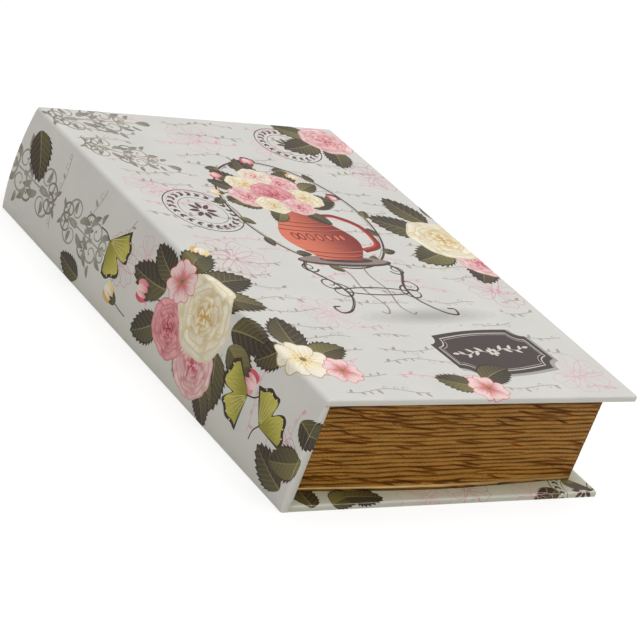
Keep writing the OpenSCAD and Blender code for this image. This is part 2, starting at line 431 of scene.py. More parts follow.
def leafLine(length, width, bend=0.0, side=0, teeth=0, points=11):
    # a pointed oval about a bowed midrib, or one side of it; teeth point to the tip
    if teeth:
        p = np.concatenate([[0], np.repeat((np.arange(teeth) + 0.85) / (teeth + 0.6), 2), [1]])
        step = np.concatenate([[0], np.tile([0.045, -0.03], teeth), [0]])
    else:
        p = (1 - np.cos(np.pi * np.linspace(0, 1, points))) / 2
        step = np.zeros(points)
    half = p ** 0.62 * (1 - p) ** 0.85
    half *= width / half.max()
    half = np.maximum(half + step * width * 2.2 * (half > 0), 0)
    bow = bend * 4 * p * (1 - p)
    upper, lower = bow + half * (side >= 0), bow - half * (side <= 0)
    p = np.clip(p + (step > 0) * 0.02, 0, 1)
    x = np.concatenate([p, p[-2:0:-1]])
    return np.stack([x, np.concatenate([upper, lower[-2:0:-1]])], 1) * length


def stroke(frame, path, widths, tone, part=9):
    # a line of changing width along a path, cut into short lengths so that none crosses itself
    path = np.asarray(path, float)
    widths = np.broadcast_to(np.asarray(widths, float), len(path))[:, None] / 2
    way = np.gradient(path, axis=0)
    way /= np.maximum(np.linalg.norm(way, axis=1), 1e-9)[:, None]
    aside = way[:, ::-1] * (-1, 1)
    one, other = path + aside * widths, path - aside * widths
    for start in range(0, len(path) - 1, part):
        stop = min(start + part, len(path) - 1) + 1
        draw(frame, np.concatenate([one[start:stop], other[start:stop][::-1]]), tone)


def curve(*stops, points=24):
    # a smooth path through the stops, by Catmull and Rom's cubic
    stops = np.array(stops, float)
    ends = np.concatenate([[2 * stops[0] - stops[1]], stops, [2 * stops[-1] - stops[-2]]])
    t = np.linspace(0, len(stops) - 1, points)
    k = np.minimum(t.astype(int), len(stops) - 2)
    f = (t - k)[:, None]
    a, b, c, d = (ends[k + n] for n in range(4))
    return 0.5 * (2 * b + (c - a) * f + (2 * a - 5 * b + 4 * c - d) * f ** 2 + (3 * b - a - 3 * c + d) * f ** 3)


def ovalLine(rx, ry, points=40, stop=360, closed=False):
    # an oval's line, which comes back to its first point if it is closed, for a stroke
    t = np.radians(np.linspace(0, stop, points, endpoint=closed or stop < 360))
    return np.stack([rx * np.cos(t), ry * np.sin(t)], 1)


def spiral(radius, turns, tight=0.22, points=30):
    # a path that curls inward: its radius falls off evenly by angle
    t = np.linspace(0, 1, points)
    r = radius * (1 - (1 - tight) * t)
    a = t * turns * 2 * math.pi
    return np.stack([r * np.cos(a) - radius, r * np.sin(a)], 1)


def leaf(spot, angle, length, width=0.3, light=False, parent=sheet):
    # a toothed leaf, dark below, with its two sides in different tones and a midrib
    frame = inside(parent, spot, angle)
    bend = 0.04
    body, lift = ("leafOlive", "leafLight") if light else ("leafDark", "leafOlive")
    draw(frame, leafLine(length, width * 1.08, bend, 0, 9), "leafDeep", body, (0, 0, length * 1.5), 0.5)
    draw(frame, leafLine(length * 0.96, width * 0.98, bend, 1), lift, body, (0, 0, length * 0.95), 0.8, 0.3)
    draw(frame, leafLine(length * 0.96, width * 0.96, bend, -1), body, "leafDeep", (0, 0, length * 1.1), 0.7, 0.2)
    p = np.linspace(0, 0.92, 8)
    rib = np.stack([p, bend * 4 * p * (1 - p)], 1) * length
    stroke(frame, rib, np.linspace(0.034, 0.008, 8) * length, "vein", 8)


flowerTones = {
    "pink": ("pinkDeep", "pink", "pinkPale"), "rose": ("roseDeep", "rose", "rosePale"),
    "cream": ("creamDeep", "cream", "creamPale"), "blush": ("blushDeep", "blush", "creamPale"),
}


def camellia(spot, radius, kind, seed, angle=0, squash=1.0, parent=sheet):
    # whorls of broad petals, the outer ones first; each wash runs from the fold below the next whorl to a pale rim,
    # and the whorls get deeper inward
    draws = np.random.default_rng(seed)
    deep, body, pale = (np.array(tones[name]) for name in flowerTones[kind])
    frame = inside(parent, spot, angle, radius, squash)
    rings = ((6, 1.0, 0.54), (6, 0.81, 0.52), (5, 0.64, 0.54), (5, 0.48, 0.50), (4, 0.34, 0.52), (3, 0.21, 0.58))
    fine = 10 + int(radius / 3)    # points on half a petal
    for number, (count, reach, width) in enumerate(rings):
        first = draws.uniform(0, 360)
        inner = number / (len(rings) - 1)
        rim = pale * (1 - 0.55 * inner) + body * 0.55 * inner
        fold = (body * (1 - inner) + deep * inner) * 0.9
        for k in range(count):
            way = first + 360 * k / count + draws.uniform(-9, 9)
            length = reach * draws.uniform(0.93, 1.06)
            wide = width * draws.uniform(0.92, 1.12)
            lit = draws.uniform(0.9, 1.03)
            petal = inside(frame, (0, 0), way, length)
            # a soft shade on the whorl below, then the petal, then a turned rim
            draw(petal, petalLine(1.05, wide * 1.05, 0.04, points=fine), (fold + rim) * 0.46)
            draw(petal, petalLine(1.0, wide, 0.06, points=fine), fold * lit, rim * lit,
                 (0.56, draws.uniform(-0.1, 0.1), 0.42), 0.8)
            lean = draws.choice([-1, 1]) * draws.uniform(10, 30)
            draw(inside(petal, (0.1, 0), lean, 0.9), petalLine(0.97, wide * 0.42, 0, points=fine), rim * lit * 0.97,
                 np.minimum(rim * lit * 1.05, 0.96), (0.5, 0, 0.5), 0.6)
    draw(frame, ovalLine(0.06, 0.045, 10), deep * 0.8)


def blossom(spot, radius, kind, seed):
    # five broad notched petals round a cluster of stamens
    draws = np.random.default_rng(seed)
    deep, pale, shade = {"pink": ("pinkDeep", "pinkPale", "rose"), "cream": ("cream", "creamPale", "creamShade")}[kind]
    frame = inside(sheet, spot, 0, radius)
    for k in range(5):
        petal = inside(frame, (0, 0), 72 * k + draws.uniform(-5, 5), draws.uniform(0.94, 1.04))
        draw(petal, petalLine(1.03, 0.49, 0.12, 0.33, 16), shade)
        draw(petal, petalLine(1.0, 0.47, 0.14, 0.33, 16), deep, pale, (0.05, 0, 0.72), 1)
    draw(frame, ovalLine(0.13, 0.13, 12), "leafLight")
    for k in range(11):
        way = math.radians(33 * k + draws.uniform(-9, 9))
        tip = np.array([math.cos(way), math.sin(way)]) * draws.uniform(0.24, 0.34)
        stroke(frame, [tip * 0.3, tip], 0.02, "creamShade")
        draw(inside(frame, tip), ovalLine(0.034, 0.034, 6), "stamen")


def bud(spot, angle, length, kind="pink", parent=sheet):
    # three folded petals in a cup of pointed leaves
    frame = inside(parent, spot, angle, length)
    shades = flowerTones[kind]
    stroke(frame, curve((-0.9, -0.12), (-0.4, -0.03), (0, 0), points=10), 0.06, "leafOlive")
    for way, tone in ((17, 0), (-17, 1), (0, 2)):
        draw(inside(frame, (0, 0), way), petalLine(1.0, 0.27, 0, 0.6, 13), shades[0], shades[tone], ragged=1)
    for way in (36, -36, 8):
        draw(inside(frame, (-0.04, 0), way), leafLine(0.5, 0.22), "leafOlive", "leafDark", (0, 0, 0.5))


def fanLeaf(spot, angle, size):
    # a fan with a cleft and a waved, dark rim, ribbed from its stalk
    frame = inside(sheet, spot, angle, size)
    for spread, grow, wash in ((62, 1.0, ("fanRim",)), (58, 0.9, ("fanRoot", "fan", (0.1, 0, 0.7), 0.9))):
        turn = np.radians(np.linspace(-spread, spread, 41))
        cleft = 0.42 * np.exp(-(np.degrees(turn) / 7) ** 2)
        reach = grow * (1 + 0.03 * np.sin(turn * 13) - 0.10 * np.abs(turn) - cleft)
        rim = np.stack([reach * np.cos(turn), reach * np.sin(turn)], 1)
        draw(frame, np.concatenate([[[0.02, 0]], rim]), *wash)
    for way in (-50, -40, -30, -20, -10, 10, 20, 30, 40, 50):
        stroke(inside(frame, (0, 0), way), [(0.14, 0), (0.5, 0), (0.74, 0)], [0.014, 0.012, 0.004],
               "fanPale" if way > 0 else "fanRoot")
    for way in (-44, -30, -16, 16, 30, 44):
        draw(inside(frame, (0, 0), way), ovalLine(0.03, 0.018, 10) + (0.87, 0), "fanPale")
    stroke(frame, curve((0.08, 0), (-0.2, 0.03), (-0.45, -0.06), points=10), 0.035, "fanRim")


def scrollwork(spot, angle, size):
    # a traditional ornament: paired C-scrolls with leaf tips about one axis
    frame = inside(sheet, spot, angle, size)
    for mirrored in (1, -1):
        half = inside(frame, (0, 0), squash=mirrored)
        for x, y, way, radius, turns, tone in (
                (0.06, 0.02, 60, 0.24, 1.35, "scroll"), (0.52, 0.03, 110, 0.2, 1.3, "scroll"),
                (0.5, 0.26, 20, 0.16, 1.15, "scrollDeep"), (-0.18, 0.06, 75, 0.17, 1.25, "scrollDeep"),
                (0.86, 0.05, 80, 0.13, 1.2, "scroll")):
            piece = inside(half, (x, y), way)
            path = spiral(radius, turns)
            stroke(piece, path, np.linspace(0.042, 0.014, len(path)), tone)
            draw(inside(piece, path[-1]), ovalLine(0.022, 0.022, 12), tone)
        for x, y, way, length in ((0.1, 0.1, 18, 0.3), (0.42, 0.2, 58, 0.26), (0.3, 0.02, 34, 0.24),
                                  (0.72, 0.14, 30, 0.24), (-0.05, 0.14, 100, 0.2), (0.62, 0.34, 76, 0.2),
                                  (0.95, 0.1, 50, 0.18), (-0.3, 0.1, 140, 0.18)):
            draw(inside(half, (x, y), way), leafLine(length, 0.2, 0.12), "scroll", "scrollDeep", (0, 0, length))
    stroke(frame, [(-0.35, 0), (0, 0), (0.4, 0), (0.8, 0), (1.15, 0)], [0.01, 0.03, 0.02, 0.026, 0.006], "scroll")
    draw(inside(frame, (1.06, 0)), petalLine(0.26, 0.3), "scroll", "scrollDeep", (0, 0, 0.26))


def outlineFlower(spot, radius, petals, seed, angle=0, squash=1.0):
    # a flower in line only, with its petals' folds
    draws = np.random.default_rng(seed)
    frame = inside(sheet, spot, angle, 1, squash)
    tone, line = "outline" if seed % 2 else "outlineDeep", 0.42
    for k in range(petals):
        petal = inside(frame, (0, 0), 360 * k / petals + draws.uniform(-6, 6), radius * draws.uniform(0.9, 1.08))
        stroke(petal, petalLine(1.0, 0.36, 0.1, points=14)[2:-1], line / radius, tone)
        stroke(petal, curve((0.2, 0.0), (0.5, 0.03), (0.82, 0.0), points=8), line * 0.7 / radius, tone)
        stroke(petal, curve((0.3, 0.08), (0.55, 0.14), (0.78, 0.12), points=8), line * 0.6 / radius, tone)
    for ring in (0.1, 0.17):
        stroke(frame, ovalLine(radius * ring, radius * ring, 16, 359), line * 0.8, tone)


def tendril(spot, length, seed, angle, tone):
    # a faint vine: a slow wave with curls and tiny leaves on both sides
    draws = np.random.default_rng(seed)
    frame = inside(sheet, spot, angle)
    x = np.linspace(0, length, int(length / 3.2) + 2)
    wave = draws.uniform(1.2, 2.4) * np.sin(x / draws.uniform(6, 10) + draws.uniform(0, 6.28))
    stroke(frame, np.stack([x, wave], 1), 0.46 + 0.24 * np.sin(x * 0.4) ** 2, tone)
    for k in range(1, len(x) - 1, 2):
        side = draws.choice([-1, 1])
        twig = inside(frame, (x[k], wave[k]), side * draws.uniform(35, 75), 1, side)
        if draws.uniform() < 0.45:
            path = spiral(draws.uniform(1.4, 2.6), draws.uniform(0.6, 1.0), 0.3, 9)
            stroke(inside(twig, (0, 0), 90), path, np.linspace(0.46, 0.26, 9), tone)
        else:
            draw(twig, leafLine(draws.uniform(3.0, 5.2), 0.24, points=7), tone)


def wreathRing(spot, radius, seed):
    # two rings with pairs of leaves between them, round a star of leaves
    draws = np.random.default_rng(seed)
    frame = inside(sheet, spot)
    stroke(frame, ovalLine(radius, radius, 73, closed=True), 0.75, "wreath")
    stroke(frame, ovalLine(radius * 0.62, radius * 0.62, 49, closed=True), 0.4, "wreath")
    for k in range(22):
        knot = inside(frame, (0, 0), 360 * k / 22)
        for lean in (58, 122):
            leafFrame = inside(knot, (radius * 0.8, 0), lean + draws.uniform(-6, 6))
            draw(leafFrame, leafLine(radius * 0.17, 0.24), "wreath")
        draw(knot, ovalLine(0.5, 0.5, 8) + (radius * 0.9, 0), "wreath")
    for k in range(8):
        draw(inside(frame, (0, 0), 45 * k), leafLine(radius * 0.3, 0.22) + (radius * 0.1, 0), "wreath")


def plaque(spot, width, height, angle):
    # a dark bare shield with hollowed corners, a pale frame line and a pale sprig
    frame = inside(sheet, spot, angle)

    def shield(inset):
        # quarter circles bite off the corners, and half a sine wave lifts the middle of the long sides
        hollow = height * 0.2
        w, h = width / 2 - inset, height / 2 - inset
        quarter = np.radians(np.linspace(180, 270, 9))
        bite = np.stack([w + hollow * np.cos(quarter), h + hollow * np.sin(quarter)], 1)[::-1]
        rise = 0.05 * height * np.sin(np.linspace(0, math.pi, 13))
        top = np.stack([np.linspace(w - hollow, -w + hollow, 13), h + rise], 1)
        half = np.concatenate([bite, top[1:-1], (bite * (-1, 1))[::-1]])
        return np.concatenate([half, -half])

    draw(frame, shield(-0.8) + (1.4, -1.6), "castDark")
    draw(frame, shield(0), "plaque", ragged=0.6)
    for inset, weight in ((3.6, 0.75), (5.2, 0.3)):
        ring = shield(inset)
        stroke(frame, np.concatenate([ring, ring[:1]]), weight, "plaqueLine", 6)
    for mirrored in (1, -1):
        half = inside(frame, (0, 0), 0, mirrored, mirrored)
        stroke(half, curve((3, 0), (12, 2.2), (20, -0.5), (27, 1.4), points=16), 0.5, "plaqueLine")
        for x, y, way, length in ((7, 1.4, 50, 6), (11, 2, -42, 6), (15, 1.2, 48, 5.5), (19, -0.3, -40, 5),
                                  (23, 0.4, 46, 4.5), (27, 1.4, 4, 5)):
            draw(inside(half, (x, y), way), leafLine(length, 0.22), "plaqueLine")
    for k in range(6):
        draw(inside(frame, (0, 0), 60 * k + 30), petalLine(4.4, 0.3), "plaqueLine")
    draw(frame, ovalLine(1.1, 1.1, 12), "plaque")


def flowerStand(spot):
    # the main figure: a curled iron stand with a clay jug of flowers and its cast shade on the ground
    frame = inside(sheet, spot)
    for ring in np.linspace(1, 0.25, 7):
        shade = np.array(tones["castDark"]) * (1 - ring) + np.array(groundTone) * ring
        draw(inside(frame, (20, -1), 4), ovalLine(62 * ring, 11 * ring, 40), shade)
    # hoop behind the flowers
    hoop = inside(frame, (4, 118), -6)
    stroke(hoop, ovalLine(50, 66, 91, closed=True), 1.5, "iron")
    stroke(hoop, ovalLine(48.2, 64.2, 91, closed=True), 0.5, "ironLight")
    for k in range(16):
        way = -60 + 21 * k
        at = (50 * np.cos(np.radians(way)), 66 * np.sin(np.radians(way)))
        leaf(at, way + (60 if k % 2 else 130), 11, light=k % 3 == 0, parent=hoop)
    # legs and their rings
    for side in (1, -1):
        leg = inside(frame, (0, 0), 0, side, side)
        stroke(leg, curve((30, 60), (35, 50), (25, 33), (24, 18), (34, 4), (43, 1), (45, 7), (40, 8), points=44),
               np.linspace(2.3, 1.3, 44), "iron")
        stroke(leg, curve((30.4, 59), (34.2, 50), (24.3, 33), (23.3, 18), (33, 5), points=30), 0.45, "ironLight")
        for x, y, way, radius in ((25, 34, 100, 8.5), (24, 30, 215, 7), (27, 50, 200, 6)):
            stroke(inside(leg, (x, y), way), spiral(radius, 1.25, 0.25, 26), np.linspace(1.3, 0.7, 26), "iron")
        stroke(leg, curve((10, 59), (7, 44), (9, 28), (5, 10), (9, 1), (13, 3), points=30), 1.1, "ironLight")
    stroke(frame, ovalLine(24, 4, 49, closed=True) + (0, 26), 1.2, "iron")
    for rx, ry, points, x, y, tone in ((35, 6.2, 48, 0, 60.5, "iron"), (33, 5, 48, 0, 61.6, "ironLight"),
                                       (20, 3.2, 36, 2, 62, "iron")):
        draw(frame, ovalLine(rx, ry, points) + (x, y), tone)
    # the jug
    y = np.linspace(0, 1, 25)
    wide = 15 + 13 * np.sin(np.pi * np.clip(y / 0.82, 0, 1)) ** 1.2 + 5 * np.clip((y - 0.86) / 0.14, 0, 1) ** 1.5
    flank = np.stack([wide, 62 + y * 62], 1)
    stroke(frame, curve((24, 74), (40, 82), (42, 104), (30, 116), (17, 116), points=30), np.linspace(5, 3.4, 30),
           "clayDark")
    stroke(frame, curve((25, 75.5), (39, 83), (40.6, 103), (29, 114.6), (18, 115), points=30), 1.6, "clay")
    draw(frame, np.concatenate([flank, (flank * (-1, 1))[::-1]]), "clayLight", "clayDark", (-20, 90, 46), 0.7)
    t = np.linspace(-1, 1, 17)
    for at in (0.1, 0.18, 0.62, 0.7, 0.78):
        k = int(at * 24)
        path = np.stack([t * wide[k] * 0.99, 62 + y[k] * 62 - 2.6 * (1 - t ** 2)], 1)
        stroke(frame, path, 1.0, "clayDark")
        stroke(frame, path + (0, 1.0), 0.5, "clayLight")
    for k in range(-3, 4):
        bead = inside(frame, (k * 7.2 * (1 - 0.02 * k * k), 88.5 + 0.1 * k * k))
        draw(bead, ovalLine(2.4, 4.4, 16), "clayDark")
        draw(bead, ovalLine(1.3, 3.0, 14), "clayLight")
    draw(frame, ovalLine(19.5, 3.4, 36) + (0, 123.5), "clayDark")
    # the bunch
    for x, y, way, length in ((-16, 126, 160, 26), (-20, 134, 190, 22), (18, 128, 18, 27), (22, 138, -8, 22),
                              (-14, 150, 128, 27), (14, 152, 52, 27), (0, 160, 92, 28), (-24, 146, 148, 20),
                              (26, 148, 30, 20), (-8, 122, 235, 20), (10, 121, -55, 20)):
        leaf((x, y), way, length, 0.28, light=(x + y) % 3 < 1, parent=frame)
    for x, y, way, length, kind in ((-26, 158, 130, 10, "pink"), (27, 162, 50, 10, "cream"), (6, 178, 80, 11, "pink"),
                                    (-38, 140, 170, 9, "cream"), (40, 140, 8, 9, "pink")):
        stroke(frame, curve((x * 0.3, 138), (x * 0.75, (y + 138) / 2 + 3), (x, y), points=14), 0.8, "leafOlive")
        bud((x, y), way, length, kind, parent=frame)
    for x, y, radius, kind, seed in (
            (-15, 152, 12, "cream", 3), (14, 156, 12, "pink", 4), (0, 164, 11, "blush", 8), (-22, 136, 12.5, "pink", 5),
            (22, 138, 12.5, "cream", 6), (0, 141, 15, "rose", 7), (-9, 127, 10.5, "cream", 9),
            (10, 126, 10.5, "pink", 10)):
        camellia((x, y), radius, kind, seed, angle=x, squash=0.92, parent=frame)


def leaves(*rows):
    for u, v, way, length, light in rows:
        leaf((u, v), way, length, light=light)


def printDesign():
    # faint things first
    draws = np.random.default_rng(5)
    for left, right, rows, gap in ((2, 218, 24, 13.4), (-66, -8, 8, 38)):
        for row in range(rows):
            v = 10 + row * gap
            u = left + draws.uniform(0, 16)
            while u < right - 14:
                length = min(draws.uniform(26, 64), right - u)
                tone = "tendrilPink" if draws.uniform() < 0.25 else "tendril"
                tendril((u, v + draws.uniform(-2, 2)), length, int(draws.integers(1e6)), draws.uniform(-4, 4), tone)
                u += length + draws.uniform(6, 34)
    for u, v, radius, petals, seed in (
            (196, 24, 24, 6, 1), (30, 148, 25, 7, 2), (96, 300, 22, 6, 3), (214, 262, 20, 7, 4), (58, 88, 19, 6, 5),
            (206, 118, 22, 6, 6), (24, 232, 17, 5, 7), (150, 292, 15, 5, 9), (-34, 196, 17, 6, 10),
            (-20, 176, 13, 5, 11), (-46, 14, 16, 6, 12)):
        outlineFlower((u, v), radius, petals, seed, angle=seed * 23, squash=0.9)
    for u, v, way, size in ((-40, 292, 90, 44), (-40, 250, -90, 40), (16, 316, 0, 42), (18, 278, -28, 36)):
        scrollwork((u, v), way, size)
    wreathRing((44, 204), 25, 3)
    wreathRing((170, 300), 23, 4)
    flowerStand((112, 88))
    plaque((150, 48), 80, 42, 7)
    # the large cluster, over the spine and up onto the lid
    leaves((-30, 92, 200, 34, 0), (-44, 104, 232, 30, 1), (-52, 124, 250, 30, 0), (-14, 88, 285, 34, 0),
           (-22, 84, 250, 30, 1), (-8, 116, 12, 36, 0), (-10, 132, 40, 34, 1), (-26, 150, 96, 34, 0),
           (-44, 146, 130, 30, 0), (-12, 104, -20, 33, 1), (-54, 96, 215, 24, 0), (-18, 146, 70, 28, 0))
    bud((-36, 160), 100, 15, "pink")
    bud((6, 148), 52, 13, "cream")
    bud((-26, 66), 262, 15, "pink")
    camellia((-48, 106), 19, "pink", 21, squash=0.95)
    camellia((-42, 136), 17, "rose", 24, angle=40, squash=0.9)
    camellia((-20, 112), 24, "cream", 22, squash=0.96)
    blossom((-15, 141), 13, "pink", 23)
    # single things on the spine
    fanLeaf((-34, 54), 115, 25)
    fanLeaf((-44, 38), -30, 24)
    fanLeaf((-30, 214), 250, 24)
    leaf((-62, 6), 70, 30, 0.32)
    leaf((-40, -2), 120, 28, 0.32, light=True)
    leaf((-22, 10), 250, 26)
    leaf((-12, 316), 215, 32, 0.32)
    leaf((-66, 232), 80, 24)
    bud((-58, 190), 75, 14, "cream")
    # corners and edges of the lid
    leaves((204, 186, 150, 40, 0), (206, 168, 205, 38, 1), (214, 200, 112, 36, 0), (222, 156, 240, 34, 0),
           (226, 204, 60, 30, 1), (12, 50, 80, 34, 0), (16, 42, 20, 30, 1), (4, 44, 140, 28, 0),
           (196, 306, 200, 34, 0), (200, 314, 150, 30, 1), (206, 300, 250, 30, 0), (120, 18, 25, 30, 0),
           (112, 12, 160, 28, 1))
    camellia((222, 152), 17, "pink", 32)
    camellia((212, 180), 24, "cream", 31, squash=0.95)
    camellia((208, 310), 18, "pink", 33, squash=0.95)
    blossom((8, 40), 17, "cream", 34)
    blossom((27, 29), 12, "pink", 35)
    blossom((117, 10), 13, "pink", 36)
    # the base: its edges and ledge, and the underside
    leaves((-92, -2, 265, 26, 0), (-106, -4, 200, 24, 1), (-118, -10, 175, 26, 0), (-274, -8, 30, 24, 0),
           (-284, -14, 170, 22, 1), (-148, 60, 40, 34, 0), (-164, 70, 120, 34, 1), (-238, 230, 200, 34, 0),
           (-228, 244, 100, 32, 0))
    for u, v, radius, seed in ((-174, -6, 19, 41), (-208, -12, 15, 42), (-254, -4, 16, 43), (-138, 160, 26, 44),
                               (-258, 120, 28, 45), (-198, 290, 24, 46), (-138, 260, 22, 47), (-268, 40, 24, 48),
                               (-300, 200, 18, 49), (-300, 90, 16, 50), (-302, 300, 17, 51)):
        outlineFlower((u, v), radius, 6, seed, angle=seed * 19)
    camellia((-154, 64), 22, "pink", 61)
    camellia((-234, 236), 22, "cream", 62)
    wreathRing((-294, -6), 22, 63)
    wreathRing((-198, 160), 28, 64)


def triangulate(points, lines, outlines=()):
    # triangles between the points that keep the lines and closed outlines, with the lines that each edge lies on and
    # the outlines that each triangle lies in
    corners = [Vector(point) for point in points.tolist()]
    where, edges, triangles, _, origins, owners = delaunay_2d_cdt(corners, lines, list(outlines), 0, 1e-4, True)
    return np.array([tuple(point) for point in where]), np.array(edges), np.array(triangles), origins, owners


def directedSides(triangles):
    return np.stack([triangles, np.roll(triangles, -1, 1)], -1).reshape(-1, 2)


def triangleSides(triangles, edges):
    # the three directed sides of each triangle, and each one's place in the list of edges
    sides = directedSides(triangles)
    count = triangles.max() + 1
    keys = edges.min(1) * count + edges.max(1)
    order = np.argsort(keys)
    return sides, order[np.searchsorted(keys[order], sides.min(1) * count + sides.max(1))]


def inkLines(outline, folds, shapes):
    # Cuts the flat sheet along its outline, its folds and the outlines of all shapes, finds the shape on top in each
    # triangle, and keeps the lines where that changes, with the shape to the left and to the right. The ground is -1
    # and whatever lies outside the sheet is -2
    border = leftHanded(np.array(outline, float))
    boxLow, boxHigh = border.min(0) - 1, border.max(0) + 1
    used = [k for k, shape in enumerate(shapes)
            if (shape["line"].max(0) > boxLow).all() and (shape["line"].min(0) < boxHigh).all()]
    points = [border] + [np.array(fold, float) for fold in folds] + [shapes[k]["line"] for k in used]
    ends = np.cumsum([len(line) for line in points]).tolist()
    runs = [list(range(end - len(line), end)) for end, line in zip(ends, points)]
    creases, outlines = runs[1:len(folds) + 1], runs[:1] + runs[len(folds) + 1:]
    where, edges, triangles, origins, owners = triangulate(np.concatenate(points), creases, outlines)
    order = np.array([-1] + used)
    top = np.array([order[max(own)] if 0 in own else -2 for own in owners])
    crease = np.array([min(origin, default=len(folds)) < len(folds) for origin in origins])
    sides, which = triangleSides(triangles, edges)
    beside = np.full((len(edges), 2), -2)
    beside[which, (sides[:, 0] != edges[which, 0]).astype(int)] = np.repeat(top, 3)
    shown = (beside[:, 0] != beside[:, 1]) | (crease & (beside[:, 0] > -2))
    wanted, lines = np.unique(edges[shown], return_inverse=True)
    return where[wanted], lines.reshape(-1, 2), beside[shown]


def fillSheet(points, lines, beside, extra):
    # Triangulates the sheet between those lines. A triangle next to a line has that side's shape, and passes it on
    # to its neighbours until all have one
    where, edges, triangles, origins, _ = triangulate(np.concatenate([points, extra]), lines.tolist())
    source = np.array([origin[0] if origin else -1 for origin in origins])
    sides, which = triangleSides(triangles, edges)
    line = source[which]
    way = where[sides[:, 1]] - where[sides[:, 0]]
    lineWay = points[lines[line, 1]] - points[lines[line, 0]]
    against = ((way * lineWay).sum(1) < 0).astype(int)
    unknown = -9
    top = np.where(line >= 0, beside[line, against], unknown).reshape(-1, 3).max(1)
    order = np.argsort(which, kind="stable")
    met = which[order[:-1]] == which[order[1:]]
    pairs = order[:-1][met], order[1:][met]
    free = line[pairs[0]] < 0
    one, two = (pair[free] // 3 for pair in pairs)
    while True:
        known = top[one], top[two]
        onward, back = (known[0] > unknown) & (known[1] == unknown), (known[1] > unknown) & (known[0] == unknown)
        if not (onward.any() or back.any()):
            break
        top[two[onward]], top[one[back]] = known[0][onward], known[1][back]
    on = top > -2
    wanted, triangles = np.unique(triangles[on], return_inverse=True)
    return where[wanted], triangles.reshape(-1, 3), top[on]


def rimOf(triangles, count):
    # the directed sides that only one triangle has
    sides = directedSides(triangles)
    keys, backwards = sides[:, 0] * count + sides[:, 1], sides[:, 1] * count + sides[:, 0]
    return sides[~np.isin(keys, backwards)]


def samePlace(points, step):
    # gives points that meet one number
    return np.unique(np.round(points / step + 0.317).astype(np.int64), axis=0, return_inverse=True)[1].reshape(-1)


def inkTable():
    # the inks' colours, washes and marks as arrays; the last row is the bare ground
    bare = {"root": groundTone, "tip": groundTone, "origin": (0, 0), "axes": np.zeros((2, 2)), "marks": (0, 0, 0)}
    return {key: np.array([shape[key] for shape in inks + [bare]], float) for key in bare}


def addAttribute(piece, name, kind, domain, values):
    layer = piece.data.attributes.new(name, kind, domain)
    field = "color" if kind == "FLOAT_COLOR" else "vector"
    layer.data.foreach_set(field, np.ascontiguousarray(values, np.float32).ravel())


def newPiece(name, points, faces, material, smoothFaces):
    # a mesh of points in millimetres, of which so many faces from the first one on are shaded smooth
    piece = addObject(name, bpy.data.meshes.new(name))
    piece.data.from_pydata(toMetres(points).tolist(), [], faces)
    piece.data.materials.append(material)
    piece.data.polygons.foreach_set("use_smooth", np.arange(len(faces)) < smoothFaces)
    return piece


def weld(piece, distance):
    shell = bmesh.new()
    shell.from_mesh(piece.data)
    bmesh.ops.remove_doubles(shell, verts=shell.verts, dist=distance)
    shell.to_mesh(piece.data)
    shell.free()


